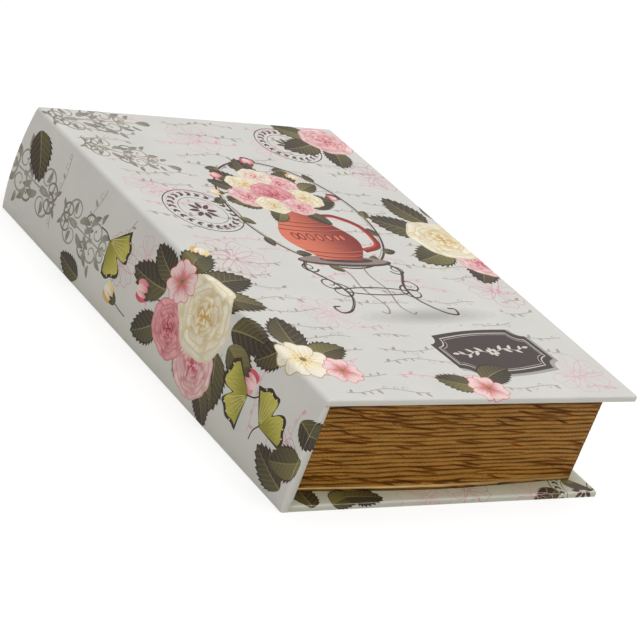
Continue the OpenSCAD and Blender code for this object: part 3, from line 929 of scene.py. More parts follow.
def printedSheet(name, outline, folds, twins, foldUp, wearAndPaintedLight=None, thickness=printSettings["thickness"], smooth=True):
    # The printed face has every ink line, and the back only the folds. Borders that meet when folded get each
    # other's points, and the back has the face's points on its rim, so that walls between the two close the sheet
    lines = inkLines(outline, folds, inks)
    flat, triangles, top = fillSheet(*lines, np.zeros((0, 2)))
    if twins is not None:
        flat, triangles, top = fillSheet(*lines, twins(flat)[0])
    free = rimOf(triangles, len(flat))
    backFlat, backTriangles, _ = fillSheet(*inkLines(outline, folds, []), flat[np.unique(free)])
    back = foldUp(backFlat)
    spot = samePlace(back, 0.02)
    a, b, c = (back[backTriangles[:, k]] for k in range(3))
    facing = np.cross(b - a, c - a)
    lean = np.stack([np.bincount(spot[backTriangles.ravel()], np.repeat(facing[:, k], 3)) for k in range(3)], 1)
    lean /= np.linalg.norm(lean, axis=1)[:, None]
    # walls stand on the rim, apart from the borders that meet
    if twins is not None:
        free = free[~twins(flat[free].mean(1))[1]]
    both = np.concatenate([flat, backFlat])
    place = samePlace(both, 0.0005)
    order = np.argsort(place[len(flat):])
    below = order[np.searchsorted(place[len(flat):][order], place[free])] + len(flat)
    walls = np.stack([free[:, 1], free[:, 0], below[:, 0], below[:, 1]], 1)
    backFaces = backTriangles[:, ::-1] + len(flat)
    faces = triangles.tolist() + backFaces.tolist() + walls.tolist()
    piece = newPiece(name, np.concatenate([foldUp(flat), back - lean[spot] * thickness]), faces, printedPaper,
                     (len(faces) - len(walls)) * smooth)
    # each corner's ink, its place in the wash, and its wear and painted light
    table = inkTable()
    corners = np.concatenate([triangles.ravel(), backFaces.ravel(), walls.ravel()])
    which = np.concatenate([np.repeat(top, 3), np.full(backFaces.size + walls.size, -1)])
    washPlace = np.einsum("kij,kj->ki", table["axes"][which], both[corners] - table["origin"][which])
    one = np.ones((len(which), 1))
    marks = table["marks"][which]
    if wearAndPaintedLight is not None:
        marks[:, 2] = wearAndPaintedLight(both[corners])
    addAttribute(piece, "inkRoot", "FLOAT_COLOR", "CORNER", np.hstack([table["root"][which], one]))
    addAttribute(piece, "inkTip", "FLOAT_COLOR", "CORNER", np.hstack([table["tip"][which], one]))
    addAttribute(piece, "inkPlace", "FLOAT_VECTOR", "CORNER", np.hstack([washPlace, one * 0]))
    addAttribute(piece, "inkMarks", "FLOAT_VECTOR", "CORNER", marks)
    # the sheet's flat cut is its own map, with the back small beside it
    across = (both[corners] - flat.min(0)) / (flat.max(0) - flat.min(0)).max()
    plain = np.arange(len(corners)) >= triangles.size
    across = np.where(plain[:, None], across * 0.24 + (0.745, 0.01), across * 0.998 + 0.001)
    piece.data.uv_layers.new(name="OFBake").uv.foreach_set("vector", across.astype(np.float32).ravel())
    weld(piece, 4e-7)
    print(name, len(triangles), "triangles on its face,", len(backTriangles), "on its back")
    return piece


def paperMaterial():
    material, tree = newMaterial("printedPaper")
    root, tip, place, marks = (put(tree, "Attribute", attribute_name=name).outputs
                               for name in ("inkRoot", "inkTip", "inkPlace", "inkMarks"))
    along, aside, _ = parts(place["Vector"])
    ragged, veins, wearAndPaintedLight = parts(marks["Vector"])
    coords = put(tree, "TexCoord").outputs["Object"]
    # washes run from the root's tone to the tip's, with a ragged meeting
    streakPlace = put(tree, "VectorMath", {0: multiplied(place["Vector"], (1.3, 17, 1)), 1: root["Vector"]},
                      operation="ADD").outputs[0]
    streak = noise(streakPlace, 1.0, 3.0)
    meeting = reckon("MULTIPLY", reckon("MULTIPLY", reckon("ADD", streak, -0.5), 0.55), ragged)
    meeting = ranged(reckon("ADD", along, meeting), 0.0, 1.0, smooth=True)
    tone = blended(meeting, root["Color"], tip["Color"])
    # side veins slant forward from the midrib
    comb = reckon("MULTIPLY_ADD", reckon("ABSOLUTE", aside), -0.85, along)
    comb = reckon("SUBTRACT", reckon("FRACT", reckon("MULTIPLY", comb, 8.0)), 0.5)
    vein = ranged(reckon("ABSOLUTE", comb), 0.02, 0.13, 1.0, 0.0, smooth=True)
    tone = blended(reckon("MULTIPLY", vein, veins), tone, ink4(*printSettings["veinTone"]))
    # fine streaks in the ink
    deep = reckon("MULTIPLY", ranged(streak, 0.25, 0.75, -1.0, 1.0), ragged)
    deep = reckon("MULTIPLY_ADD", deep, 0.14, 1.0)
    # the aged ground: soft clouds and paper fibre
    clouds = ranged(noise(coords, printSettings["cloudScale"], 5.0, 0.6), 0.3, 0.7, 0.955, 1.03)
    fibre = noise(coords, printSettings["fibreScale"], 2.0)
    value = reckon("MULTIPLY", reckon("MULTIPLY", deep, clouds), ranged(fibre, 0.3, 0.7, 0.985, 1.015))
    # pale rubbed patches on the folds' crests, partly a painted highlight, and painted shade tinted yellow by light
    # bounced off the pages, strongest on the base's ledge
    rubAndHighlight = reckon("ADD", ranged(wearAndPaintedLight, -0.15, -0.9), noise(coords, printSettings["rubAndHighlightScale"], 4.0))
    tone = blended(ranged(rubAndHighlight, 0.95, 1.25, 0.0, 0.6, smooth=True), tone, ink4(*printSettings["rubAndHighlightTone"]))
    paintedShadeTinge = blended(reckon("MULTIPLY", wearAndPaintedLight, clouds), (1, 1, 1, 1), printSettings["paintedShadeTint"])
    tone = dimmed(multiplied(tone, paintedShadeTinge), value)
    finishSurface(tree, tone, roughness=0.5, height=fibre, strength=0.12, depth=0.00006,
                  sockets={"Specular IOR Level": 0.22})
    return material


printDesign()
print("print drawn,", len(inks), "shapes")
printedPaper = paperMaterial()

# The spine's outer profile, from the lid's back edge down over the fold and the arc, round the foot and in to the
# base. Its arc is the CAD source's circle, and s, the length along it, is the sheet's own coordinate
spineSettings = {
    "foot": 4.85,             # how far it stands out at the foot and at the head
    "head": 2.0,
    "bulge": 3.2,
    "footRadius": 0.5,
    "endRadius": 0.85,        # keeps the paper outside the board's sharp end
    "turnIn": 13.4,
    "turnInAbove": 0.05,      # over the base's top
    "inner": 0.29,            # the turned-in paper lies proud of the board's inner face, above the base
    "steps": 26,
    "footSteps": 6,
    "topStep": 0.15,          # a first short step below the rim
    "beyond": 40.0,           # fold lines run past the sheet's ends
    "wearAndPaintedLight": ((-1.5, 0), (-0.5, -0.1), (0, -0.8), (0.5, -0.1), (1.5, 0.1), (3, 0.2)),   # by distance past the end
    # how much painted shade darkens and yellows the spine towards its foot
    "footDarkening": 0.2,
}
foldSettings = {
    "top": 66.4,              # where the fold leaves the lid's back edge
    "foot": 65.15,            # and where it lies on the spine again
    "proud": 0.03,
    "points": 8,
    "endHeights": (65.4, 65.9),        # between them its ends go from the spine's rounding to the lid's
    "endSteps": 5,
    "bend": ((-2.85, 165, 65.5), (-2.85, 165, 65.8)),
    "thickness": 0.1,
}
topZ = lidHigh[2]
lean = spineSettings["foot"] - spineSettings["head"]
chord = math.hypot(lean, topZ)
bulge = spineSettings["bulge"]
arcRadius = chord ** 2 / (8 * bulge) + bulge / 2
arcX = -(spineSettings["foot"] + spineSettings["head"]) / 2 + (arcRadius - bulge) * topZ / chord
arcZ = topZ / 2 - (arcRadius - bulge) * lean / chord


def spineArc(z):
    # x on the arc's circle at a height
    return arcX - np.sqrt(arcRadius ** 2 - (z - arcZ) ** 2)


def lengthAlong(line):
    # the sum of a line's steps up to each of its points
    return np.concatenate([[0], np.cumsum(np.hypot(*np.diff(line, axis=0).T))])


turnInFrom = baseHigh[2] + spineSettings["turnInAbove"]


def spineProfile():
    # the arc from below the fold to the foot, then a quadratic curve round the foot
    fillet = spineSettings["footRadius"]
    arcHeights = np.linspace(foldSettings["foot"], fillet, spineSettings["steps"] + 1)
    arcHeights = np.sort(np.append(arcHeights, turnInFrom))[::-1]
    arcLine = np.stack([spineArc(arcHeights), arcHeights], 1)
    t = np.linspace(0, 1, spineSettings["footSteps"] + 1)[1:, None]
    start, bend = arcLine[-1], np.array([-spineSettings["foot"], 0.0])
    footLine = start * (1 - t) ** 2 + 2 * bend * t * (1 - t) + (bend + (fillet, 0)) * t ** 2
    below = rimZ - spineSettings["topStep"]
    return np.concatenate([[(spineArc(rimZ), rimZ), (spineArc(below), below)], arcLine, footLine, [[0.0, 0.0]]])


foldHeights = np.linspace(foldSettings["top"], foldSettings["foot"], foldSettings["points"])
foldLine = np.stack([spineArc(foldHeights), foldHeights], 1)
foldLine[:, 0] -= foldSettings["proud"]
foldLength = lengthAlong(foldLine)
foldStart = lidLow[0] - (topZ - foldSettings["top"])      # the sheet's coordinate there
profile = spineProfile()
profileLength = lengthAlong(profile)
spineStart = foldStart - foldLength[-1] + (rimZ - foldSettings["foot"])
spineEnd = spineStart - profileLength[-1]
footAt = spineStart - profileLength[-2]
normals = np.stack([-np.gradient(profile[:, 1], profileLength), np.gradient(profile[:, 0], profileLength)], 1)
normals /= np.linalg.norm(normals, axis=1)[:, None]


def foldSpine(flat):
    # Wraps the sheet round the spine: along the profile by s, over the two rounded ends, level across each
    # end to the inner face, and above the base back along that face
    s, v = spineStart - flat[:, 0], flat[:, 1]
    x, z, nx, nz = (np.interp(s, profileLength, line[:, k]) for line in (profile, normals) for k in (0, 1))
    beyond = np.maximum(-v, v - coverLength)
    width = np.maximum(-x, 0) + np.where(z > turnInFrom - 1e-6, spineSettings["inner"], 0)
    across = np.clip(beyond, 0, width)
    inward = np.maximum(beyond - width, 0) * (beyond > 0)
    nearTail = v < coverLength / 2
    fromEnd = np.where(nearTail, np.maximum(v, 0), np.maximum(coverLength - v, 0)) + inward
    outer = (inward <= 0) & (fromEnd < spineSettings["endRadius"])
    roundedEnd, roundedIn = roundOff(fromEnd, across, spineSettings["endRadius"])
    fromEnd = np.where(outer, roundedEnd, fromEnd)
    sink = np.where(outer, roundedIn - across, 0)
    return np.stack([x + across + sink * nx, np.where(nearTail, fromEnd, coverLength - fromEnd), z + sink * nz], 1)


def spineLines():
    # outline, fold lines and twins of the spine's sheet
    radius, far = spineSettings["endRadius"], spineSettings["beyond"]
    stops = spineStart - profileLength
    widths = np.maximum(-profile[:, 0], 0)
    turnedIn = profile[:, 1] > turnInFrom - 1e-6
    plain = (stops >= footAt - 1e-6) & (profile[:, 1] < turnInFrom + 1e-6)
    inner = widths + turnedIn * spineSettings["inner"]
    flap = np.concatenate([np.stack([stops, inner + spineSettings["turnIn"]], 1)[turnedIn],
                           np.stack([stops, widths], 1)[plain]])
    base = [(footAt, 0.0), (spineEnd, 0.0), (spineEnd, coverLength), (footAt, coverLength)]
    outline = np.concatenate([flap * (1, -1), base, (flap + (0, coverLength))[::-1]])
    folds = [((stop, -far), (stop, coverLength + far)) for stop in stops[1:-1]]
    near = rounding(radius)
    for d in np.concatenate([[-radius - printSettings["guard"]], -near, near[:-1]]):
        folds += [((spineEnd - 1, v), (spineStart + 1, v)) for v in (-d, coverLength + d)]
    for k in np.nonzero(turnedIn)[0][:-1]:
        for low, sign in ((0, -1), (coverLength, 1)):
            folds.append([(stops[n], low + sign * inner[n]) for n in (k, k + 1)])

    def twins(points):
        found, met = [], np.zeros(len(points), bool)
        for cy, sy in ((0, 1), (coverLength, -1)):
            a, b = footAt - points[:, 0], (points[:, 1] - cy) * sy
            on = (np.abs(b) < touch) & (a > 0) | (np.abs(a) < touch) & (b < 0) & (b > -widths[-2] - touch)
            met |= on
            found.append(np.stack([footAt + b[on], cy - a[on] * sy], 1))
        return np.concatenate(found), met

    return outline, folds, twins


def spineWearAndPaintedLight(flat):
    # rubbed pale with a painted highlight on the crests of both ends, and a little painted shade, darker and yellower,
    # on the end faces and towards the foot
    beyond = np.maximum(-flat[:, 1], flat[:, 1] - coverLength)
    low = np.clip((spineStart - flat[:, 0]) / profileLength[-1], 0, 1) ** 3 * spineSettings["footDarkening"]
    wearAndPaintedLight = np.array(spineSettings["wearAndPaintedLight"])
    return np.interp(beyond, *wearAndPaintedLight.T) + low * (beyond < wearAndPaintedLight[0, 0])


# The two covers. Wear and painted light are given at distances past the face's edge
lidCover = {
    "low": lidLow, "high": lidHigh, "faceZ": lidHigh[2], "down": 1, "way": 1, "start": 0,
    "radii": {"left": 3.0, "right": 1.1, "tail": 1.1, "head": 1.1}, "farRadius": 0.4, "turnIn": 15.0,
    "wearAndPaintedLight": ((-1.6, 0), (-0.6, -0.2), (0, -0.9), (0.7, 0), (1.5, 0.15), (3.4, 0.25), (3.8, -0.6), (4.2, 0.15)),
}
baseCover = {
    "low": baseLow, "high": baseHigh, "faceZ": 0.0, "down": -1, "way": -1, "start": spineEnd,
    "radii": {"right": 0.4, "tail": 0.4, "head": 0.4}, "farRadius": 1.6, "turnIn": 18.0,
    # past 5.4 lies the ledge, painted in shade that deepens next to the page block
    "wearAndPaintedLight": ((-4, 0.15), (-0.5, 0.3), (0, -0.5), (0.5, 0.55), (2.6, 0.5), (3.4, 0.1), (3.8, -0.9), (4.4, 0.3),
             (5.4, 0.5), (17, 0.95)),
}


def coverParts(cover):
    # what printedSheet needs to know of a cover
    return *coverLines(cover), lambda flat: foldCover(flat, cover), lambda flat: coverWearAndPaintedLight(flat, cover)


for name, body, sheetParts in (("lid", "lid", coverParts(lidCover)),
                               ("spine", "case", (*spineLines(), foldSpine, spineWearAndPaintedLight)),
                               ("base", "case", coverParts(baseCover))):
    piece = printedSheet(name + "_print", *sheetParts)
    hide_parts(name + "_wrap")
    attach(piece, body)


def foldHinge(flat):
    # along the fold line, its ends rounded as the spine's and the lid's ends are
    s, v = foldStart - flat[:, 0], flat[:, 1]
    x, z = (np.interp(s, foldLength, foldLine[:, k]) for k in (0, 1))
    radius = np.interp(z, foldSettings["endHeights"], (spineSettings["endRadius"], printSettings["cornerRadius"]))
    rounded, sink = roundOff(np.minimum(v, coverLength - v), np.zeros(len(v)), radius)
    return np.stack([x + sink, np.where(v < coverLength / 2, rounded, coverLength - rounded), z], 1)


stops = foldStart - foldLength
outline = [(stops[0], coverLength), (stops[-1], coverLength), (stops[-1], 0.0), (stops[0], 0.0)]
folds = [((stop, -1.0), (stop, coverLength + 1.0)) for stop in stops[1:-1]]
for d in rounding(printSettings["cornerRadius"], foldSettings["endSteps"])[:-1]:
    folds += [((stops[-1] - 1, v), (stops[0] + 1, v)) for v in (d, coverLength - d)]
hingeFold = printedSheet("hinge_fold", outline, folds, None, foldHinge, None, foldSettings["thickness"], False)
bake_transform(hingeFold)

# the covering is turned over the top of the spine's board at both ends, where no cloth lies
capSettings = {"left": -2.45, "proud": 0.1, "fromCloth": 0.05, "fromEnd": 0.3, "columns": 6, "thickness": 0.08}
u0, u1, capZ = capSettings["left"], spineSettings["inner"], rimZ + capSettings["proud"]
fromEnd, fromCloth = capSettings["fromEnd"], capSettings["fromCloth"]
for name, v0, v1 in (("tail_cap", fromEnd, clothLow[1] - fromCloth),
                     ("head_cap", clothHigh[1] + fromCloth, coverLength - fromEnd)):
    outline = [(u0, v0), (u1, v0), (u1, v1), (u0, v1)]
    folds = [((u, v0 - 1), (u, v1 + 1)) for u in np.linspace(u0, u1, capSettings["columns"])[1:-1]]
    cap = printedSheet(name, outline, folds, None, lambda flat: np.insert(flat, 2, capZ, axis=1), None,
                       capSettings["thickness"])
    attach(cap, "case")
print("printed sheets folded")

# The block of pages: three strips whose ribs run on round the fore-edge corners. Heights are above the strips' foot
# for low things and below the rim for high ones
pageSettings = {
    "pitch": 2.8,             # rib to rib
    "ribHeight": 0.36,
    "rows": 190,
    "ends": 430,              # columns on the head and tail strips
    "foreEdge": 480,
    "seed": 11,
    "run": 732,               # length over which slips and creases are strewn
    "waves": 8,
    "slips": 14,              # places where a groove steps over to the next
    "creases": 380,           # short slanting folds across the ribs
    "creaseLength": (8, 30),
    "creaseWidth": 0.42,
    "flare": (4.0, 1.2),      # how far the loose lower rim stands out at the ends and at the fore-edge
    "flareHeight": 9.5,
    "calm": ((0, 0.2), (6, 0.3), (20, 0.5)),       # height, share of the waves
    "cornerSoft": (0.5, 1.5),                      # share by which the ribs are shallower at a corner, and its reach
    "cornerDark": (0.45, 0.7),                     # the same for their light crowns
    "levels": ((0.12, 2.6, 5, 0.62, 0.5), (1.1, 7.0, 4, 0.7, 0.42), (1.5, 1.9, 2, 0.5, 0.95)),
    # the ramp goes from painted shade in the grooves and creases to painted light on the crowns
    "tones": ((0.0, (30, 12, 0)), (0.32, (74, 38, 2)), (0.58, (112, 65, 8)), (0.84, (140, 93, 27)),
              (1.0, (184, 138, 72))),
    "hues": ((0.95, 1.03, 1.0, 1), (1.1, 0.93, 0.9, 1)),
    # the lowest rib's pale crest: partly rubbing, partly a painted highlight where the flared rim catches light
    "rubAndHighlightTone": (255, 222, 166),
    "rubAndHighlightHeights": (0.8, 1.5, 2.5, 1.7),            # the pale crest starts, is full, ends and leaves off
    "rubAndHighlightAlong": (50, 150, 0.95, 0.4),              # from there to there it goes from this share to that
    # painted shade below the lid and over the upper ribs, and a painted contact shadow along the foot
    "underLidShade": (1.5, 0.2, 0.3),                  # from, to, share of the light that is left
    "topShade": (12.5, 8.3, 0.72),
    "footShade": (0.2, 0.9, 0.35),
}


def pagePhase(s, z):
    # Height in ribs, gently warped along s. Each slip adds a pair of opposite dislocations, so that a groove leaves
    # its line, crosses one rib on a slant and runs on in the next groove
    draws = np.random.default_rng(pageSettings["seed"])
    phase = z / pageSettings["pitch"]
    calm = np.interp(z - stripLow[2], *np.array(pageSettings["calm"]).T)
    for _ in range(pageSettings["waves"]):
        stretch, rise = draws.uniform(0.02, 0.16), draws.uniform(0.03, 0.3)
        start, size = draws.uniform(0, 6.28), draws.uniform(0.03, 0.085)
        phase = phase + calm * size * np.sin(s * stretch + z * rise + start)
    for _ in range(pageSettings["slips"]):
        at, height, reach = draws.uniform(0, pageSettings["run"]), draws.uniform(6, 64), draws.uniform(9, 34)
        for spot, level, turn in ((at, height, 1), (at + reach, height - pageSettings["pitch"], -1)):
            phase = phase + turn * np.arctan2((z - level) * 5, s - spot) / (2 * math.pi)
    return phase


def pageCreases(s, z):
    # Each crease follows an S from one groove down to the next as s grows, and fades out at both ends
    draws = np.random.default_rng(pageSettings["seed"] + 1)
    depth = np.zeros(np.broadcast(s, z).shape)
    for _ in range(pageSettings["creases"]):
        start, length = draws.uniform(-10, pageSettings["run"]), draws.uniform(*pageSettings["creaseLength"])
        level, drop = draws.uniform(5, 66), draws.uniform(0.8, 2.4)
        strength, width = draws.uniform(0.45, 1), pageSettings["creaseWidth"] * draws.uniform(0.7, 1.3)
        columns = np.nonzero(((s > start) & (s < start + length)).any(0))[0]
        if len(columns) == 0:
            continue
        part = slice(columns[0], columns[-1] + 1)
        t = np.clip((s[:, part] - start) / length, 0, 1)
        line = level - drop * t * t * (3 - 2 * t) - 0.5 * t
        fold = strength * np.sin(math.pi * t) ** 0.7 * np.exp(-((z[:, part] - line) / width) ** 2)
        depth[:, part] = np.maximum(depth[:, part], fold)
    return depth


def cornerLeft(s, amount, reach):
    # 1 away from the page block's corners, and less by amount * exp(-(distance / reach)^2) along s near them
    distance = np.minimum(np.abs(s - pageWidth), np.abs(s - pageWidth - pageLength))
    return 1 - amount * np.exp(-(distance / reach) ** 2)


def pageHeight(s, z):
    # 1 on a rib's crown and 0 in the groove, whose depth comes and goes along s
    phase = pagePhase(s, z)
    part = np.abs(2 * (phase - np.floor(phase)) - 1)
    deep = 0.56 + 0.2 * np.sin(s * 0.061 + z * 0.9) + 0.14 * np.sin(s * 0.173 - z * 1.7)
    crown = 1 - part ** 2.6 * deep
    fine = 0.02 * np.sin(s * 0.9 + z * 5) * np.sin(z * 9.3 + s * 0.21) + 0.02 * np.sin(z * 14.1 - s * 0.13)
    height = np.clip((crown + fine) * (1 - 0.9 * pageCreases(s, z)), 0, 1)
    return 1 - (1 - height) * cornerLeft(s, *pageSettings["cornerSoft"])


def pageStrip(name, columns, start, length, flare, place, mitres):
    # A grid of (s, z): each point stands proud of the strip's back by the page's height, and the loose lower rim
    # flares out midway. place turns s, depth and z into x, y and z. At a mitre the grid ends where its own depth
    # says, so that both strips meet
    rows, ribHeight = pageSettings["rows"], pageSettings["ribHeight"]
    share = np.linspace(0, 1, columns)[None, :].repeat(rows, 0)
    z = np.linspace(stripLow[2], stripHigh[2], rows)[:, None].repeat(columns, 1)

    def alongAt(depth):
        return share * (length - depth * mitres[0] - depth * mitres[1]) + depth * mitres[0]

    depth = np.zeros_like(share)
    for _ in range(2):
        along = alongAt(depth)
        depth = ribHeight * (1 - pageHeight(start + along, z))
    hang = np.clip(1 - (z - stripLow[2]) / pageSettings["flareHeight"], 0, 1)
    front = place(along, depth - flare * np.sin(math.pi * share) ** 1.4 * hang ** 1.8, z)
    thick = np.full_like(share, stripHigh[0] - stripLow[0])
    back = place(alongAt(thick), thick, z)
    grid = np.arange(rows * columns).reshape(rows, columns)
    quads = np.stack([grid[:-1, :-1], grid[:-1, 1:], grid[1:, 1:], grid[1:, :-1]], -1).reshape(-1, 4)
    rim = np.concatenate([grid[0, :-1], grid[:-1, -1], grid[-1, :0:-1], grid[:0:-1, 0]])
    ring = rows * columns + np.arange(len(rim))
    sides = np.stack([rim, ring, np.roll(ring, -1), np.roll(rim, -1)], -1)
    points = np.concatenate([np.stack(front, -1).reshape(-1, 3), np.stack(back, -1).reshape(-1, 3)[rim]])
    piece = newPiece(name, points, quads.tolist() + sides.tolist() + [ring[::-1].tolist()], pageMaterial, len(quads))
    # the crown's height becomes painted shade in the grooves and painted light on the crowns in the page material
    crown = (1 - depth / ribHeight) * cornerLeft(start + along, *pageSettings["cornerDark"])
    values = np.stack([start + along, z, crown], -1).reshape(-1, 3)
    addAttribute(piece, "pagePlace", "FLOAT_VECTOR", "POINT", np.concatenate([values, values[rim] * (1, 1, 0)]))
    print(name, len(piece.data.polygons), "faces")
    return piece


def makePageMaterial():
    material, tree = newMaterial("pageEdge")
    place = put(tree, "Attribute", attribute_name="pagePlace").outputs["Vector"]
    along, height, level = parts(place)
    # the crowns are painted light and the grooves and creases painted shade, and streaks, fine streaks and grain lie
    # over them
    layers = []
    for across, up, detail, roughness, weight in pageSettings["levels"]:
        layers.append(noise(multiplied(place, (across, up, 0)), 1.0, detail, roughness))
        level = reckon("MULTIPLY_ADD", reckon("ADD", layers[-1], -0.5), weight, level)
    ramp = put(tree, "ValToRGB", {0: level})
    stops, elements = pageSettings["tones"], ramp.color_ramp.elements
    while len(elements) < len(stops):
        elements.new(0.5)
    for element, (at, tone) in zip(elements, stops):
        element.position, element.color = at, ink4(*tone)
    # some lengths of rib are redder than others
    hueNoise = noise(multiplied(place, (0.09, 0.7, 0)), 1.0, 3.0)
    tone = multiplied(ramp.outputs[0], blended(ranged(hueNoise, 0.38, 0.66), *pageSettings["hues"]))
    # the lowest rib is rubbed pale along its crest, with a painted highlight where the flared rim catches light, most
    # of all near the spine
    rise, full, end, off = (stripLow[2] + height for height in pageSettings["rubAndHighlightHeights"])
    rubAndHighlight = reckon("MULTIPLY", ranged(height, rise, full, smooth=True), ranged(height, end, off, smooth=True))
    rubAndHighlight = reckon("MULTIPLY", rubAndHighlight, ranged(along, *pageSettings["rubAndHighlightAlong"]))
    tone = blended(rubAndHighlight, tone, ink4(*pageSettings["rubAndHighlightTone"]))
    # painted shade right below the lid and over the upper ribs under its overhang, a painted contact shadow along the
    # foot, and soft clouds of tone
    (a, b, under), (c, d, shade), (e, f, foot) = (pageSettings[key] for key in ("underLidShade", "topShade", "footShade"))
    clouds = ranged(noise(multiplied(place, (0.06, 0.14, 0)), 1.0, 2.0), 0.3, 0.7, 0.88, 1.1)
    shadeAndClouds = reckon("MULTIPLY", ranged(height, rimZ - a, rimZ - b, 1.0, under),
                  ranged(height, stripLow[2] + e, stripLow[2] + f, foot, 1.0))
    shadeAndClouds = reckon("MULTIPLY", reckon("MULTIPLY", shadeAndClouds, clouds), ranged(height, rimZ - c, rimZ - d, 1.0, shade))
    finishSurface(tree, dimmed(tone, shadeAndClouds), roughness=0.42, height=layers[1], strength=0.5, depth=0.00025,
                  sockets={"Specular IOR Level": 0.08, "Specular Tint": (1.0, 0.72, 0.4, 1.0)})
    return material


pageMaterial = makePageMaterial()
pageX0, pageX1, pageY0, pageY1 = cadBox("tail_page_strip")[0][0], stripHigh[0], stripLow[1], stripHigh[1]
pageWidth, pageLength = pageX1 - pageX0, pageY1 - pageY0
endFlare, foreEdgeFlare = pageSettings["flare"]
for name, columns, start, length, flare, place, mitres in (
        ("tail", pageSettings["ends"], 0, pageWidth, endFlare,
         lambda s, depth, z: (pageX0 + s, pageY0 + depth, z), (0, 1)),
        ("fore_edge", pageSettings["foreEdge"], pageWidth, pageLength, foreEdgeFlare,
         lambda s, depth, z: (pageX1 - depth, pageY0 + s, z), (1, 1)),
        ("head", pageSettings["ends"], pageWidth + pageLength, pageWidth, endFlare,
         lambda s, depth, z: (pageX1 - s, pageY1 - depth, z), (1, 0))):
    pages = pageStrip(name + "_pages", columns, start, length, flare, place, mitres)
    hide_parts(name + "_page_strip")
    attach(pages, "case")
print("page block made")

# The hinge cloth inside the joint: up behind the tray, over the spine's board, round a tight fold and onto the
# underside of the lid
clothSettings = {
    "thickness": 0.1,
    "gap": 0.12,              # off the tray's wall
    "overBoard": 0.07,
    "underLid": 0.09,
    "foldX": -2.62,
    "bends": (0.12, 0.06, 0.06),
    "bendY": 165,
    "bendMargin": 0.05,       # the bend starts so far above the board and ends so far below the lid
    "steps": 5,               # segments in each rounded bend
    "columns": 90,
    "threads": 2400,          # threads to a metre
    "tone": (150, 134, 106),
    "threadTone": (116, 100, 76),
}


def bentLine(corners, radii, steps):
    # a line through corners, each rounded by a quadratic curve that starts and ends a radius away from it
    corners = np.array(corners, float)
    t = np.linspace(0, 1, steps + 1)[:, None]
    line = [corners[:1]]
    for before, corner, after, radius in zip(corners[:-2], corners[1:-1], corners[2:], radii):
        a, b = (corner + (end - corner) * radius / np.linalg.norm(end - corner) for end in (before, after))
        line.append(a * (1 - t) ** 2 + 2 * corner * t * (1 - t) + b * t ** 2)
    return np.concatenate(line + [corners[-1:]])


def carriedBand(name, line, thickness, y0, y1, columns, material):
    # A band of cloth: the line in x and z is offset by half the thickness to both sides into a closed ring, and
    # the ring is carried along y. Its map is the length along the line against y
    way = np.gradient(line, axis=0)
    way /= np.linalg.norm(way, axis=1)[:, None]
    aside = way[:, ::-1] * (-1, 1) * thickness / 2
    ring = np.concatenate([line + aside, (line - aside)[::-1]])
    y = np.repeat(np.linspace(y0, y1, columns), len(ring))
    x, z = (np.tile(ring[:, k], columns) for k in (0, 1))
    index = np.arange(len(y)).reshape(columns, len(ring))
    onward = np.roll(index, -1, 1)
    quads = np.stack([index[:-1], onward[:-1], onward[1:], index[1:]], -1).reshape(-1, 4)
    faces = quads.tolist() + [index[0, ::-1].tolist(), index[-1].tolist()]
    if (ring[:, 0] * np.roll(ring[:, 1], -1) - ring[:, 1] * np.roll(ring[:, 0], -1)).sum() > 0:
        faces = [face[::-1] for face in faces]
    piece = newPiece(name, np.stack([x, y, z], 1), faces, material, len(quads))
    length = lengthAlong(line)
    length = np.tile(np.concatenate([length, length[::-1]]), columns)
    addAttribute(piece, "clothPlace", "FLOAT_VECTOR", "POINT", np.stack([length, y, y * 0], 1) * mm)
    return piece


def weaveMaterial():
    # a plain weave: two rows of thread crests cross over and under
    material, tree = newMaterial("hingeCloth")
    turns = clothSettings["threads"] * math.pi
    spot = multiplied(put(tree, "Attribute", attribute_name="clothPlace").outputs["Vector"], (turns, turns, turns))
    warp, weft, _ = parts(spot)
    crest = ranged(reckon("MULTIPLY", reckon("SINE", warp), reckon("SINE", weft)), -1.0, 1.0)
    level = reckon("MULTIPLY_ADD", noise(spot, 0.09, 3.0), 0.5, crest)
    tone = blended(ranged(level, 0.0, 1.4), ink4(*clothSettings["threadTone"]), ink4(*clothSettings["tone"]))
    finishSurface(tree, tone, roughness=0.85, height=crest, strength=0.5, depth=0.00006,
                  sockets={"Sheen Weight": 0.15, "Specular IOR Level": 0.2})
    return material


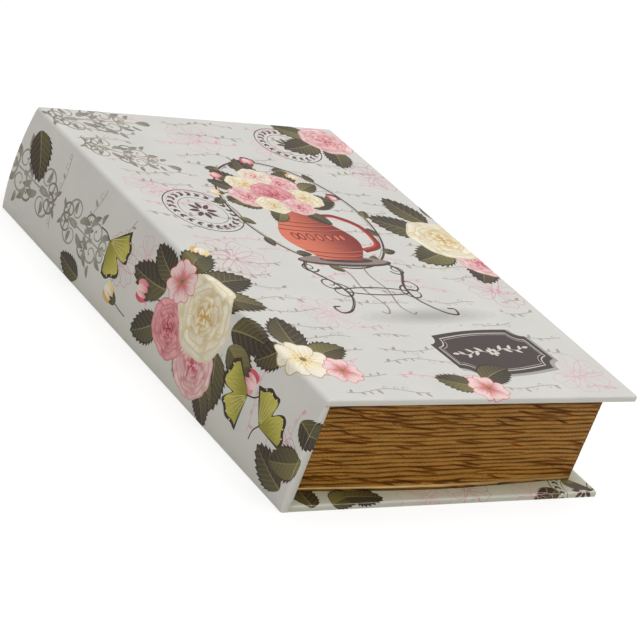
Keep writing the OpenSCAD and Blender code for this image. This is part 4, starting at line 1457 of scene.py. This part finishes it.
gap, foldX = clothSettings["gap"], clothSettings["foldX"]
boardTop, lidUnder = rimZ + clothSettings["overBoard"], lidLow[2] - clothSettings["underLid"]
clothLine = bentLine([(gap, clothLow[2]), (gap, boardTop), (foldX, boardTop), (foldX, lidUnder),
                      (clothHigh[0], lidUnder)], clothSettings["bends"], clothSettings["steps"])
hingeCloth = carriedBand("hinge_cloth_band", clothLine, clothSettings["thickness"], clothLow[1], clothHigh[1],
                         clothSettings["columns"], weaveMaterial())
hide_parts("hinge_cloth")
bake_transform(hingeCloth)
print("hinge cloth made")

# The solids that stay as the CAD has them: boards, linings and metal
plainSettings = {
    "board": {"tone": (158, 142, 116), "deep": (122, 106, 82), "grain": 900.0, "stretch": (1, 1, 7), "rough": 0.85,
              "metallic": 0.0, "bump": 0.00008,
              "nodes": ("base_board", "spine_board", "tray_floor", "head_wall", "tail_wall", "fore_edge_wall",
                        "spine_side_wall", "lid_board")},
    "lining": {"tone": (226, 219, 201), "deep": (214, 204, 181), "grain": 1500.0, "stretch": (1, 1, 1), "rough": 0.75,
               "metallic": 0.0, "bump": 0.00004, "nodes": ("floor_lining", "wall_lining", "lid_lining")},
    "nickel": {"tone": (196, 192, 184), "deep": (150, 146, 138), "grain": 1800.0, "stretch": (1, 9, 1), "rough": 0.3,
               "metallic": 1.0, "bump": 0.00002, "nodes": ("wall_magnet_head", "wall_magnet_tail")},
    "steel": {"tone": (172, 172, 172), "deep": (120, 120, 122), "grain": 1300.0, "stretch": (9, 1, 1), "rough": 0.4,
              "metallic": 1.0, "bump": 0.00002, "nodes": ("lid_plate_head", "lid_plate_tail")},
}


def plainMaterial(name, values):
    # fibres or brushing: a fine noise drawn out along one axis, over broad clouds
    material, tree = newMaterial(name)
    coords = put(tree, "TexCoord").outputs["Object"]
    fine = noise(multiplied(coords, values["stretch"]), values["grain"], 4.0, 0.65)
    level = reckon("MULTIPLY_ADD", noise(coords, 70.0, 5.0), 0.18, reckon("MULTIPLY", fine, 0.82))
    tone = blended(ranged(level, 0.35, 0.62), ink4(*values["deep"]), ink4(*values["tone"]))
    rough = ranged(fine, 0.3, 0.7, values["rough"] * 0.85, min(values["rough"] * 1.15, 1))
    finishSurface(tree, tone, rough, height=fine, strength=0.3, depth=values["bump"],
                  sockets={"Metallic": values["metallic"]})
    return material


for name, values in plainSettings.items():
    material = plainMaterial(name, values)
    for node in values["nodes"]:
        for slot in nodes[node].material_slots:
            slot.material = material
print("boards, linings and metal finished")
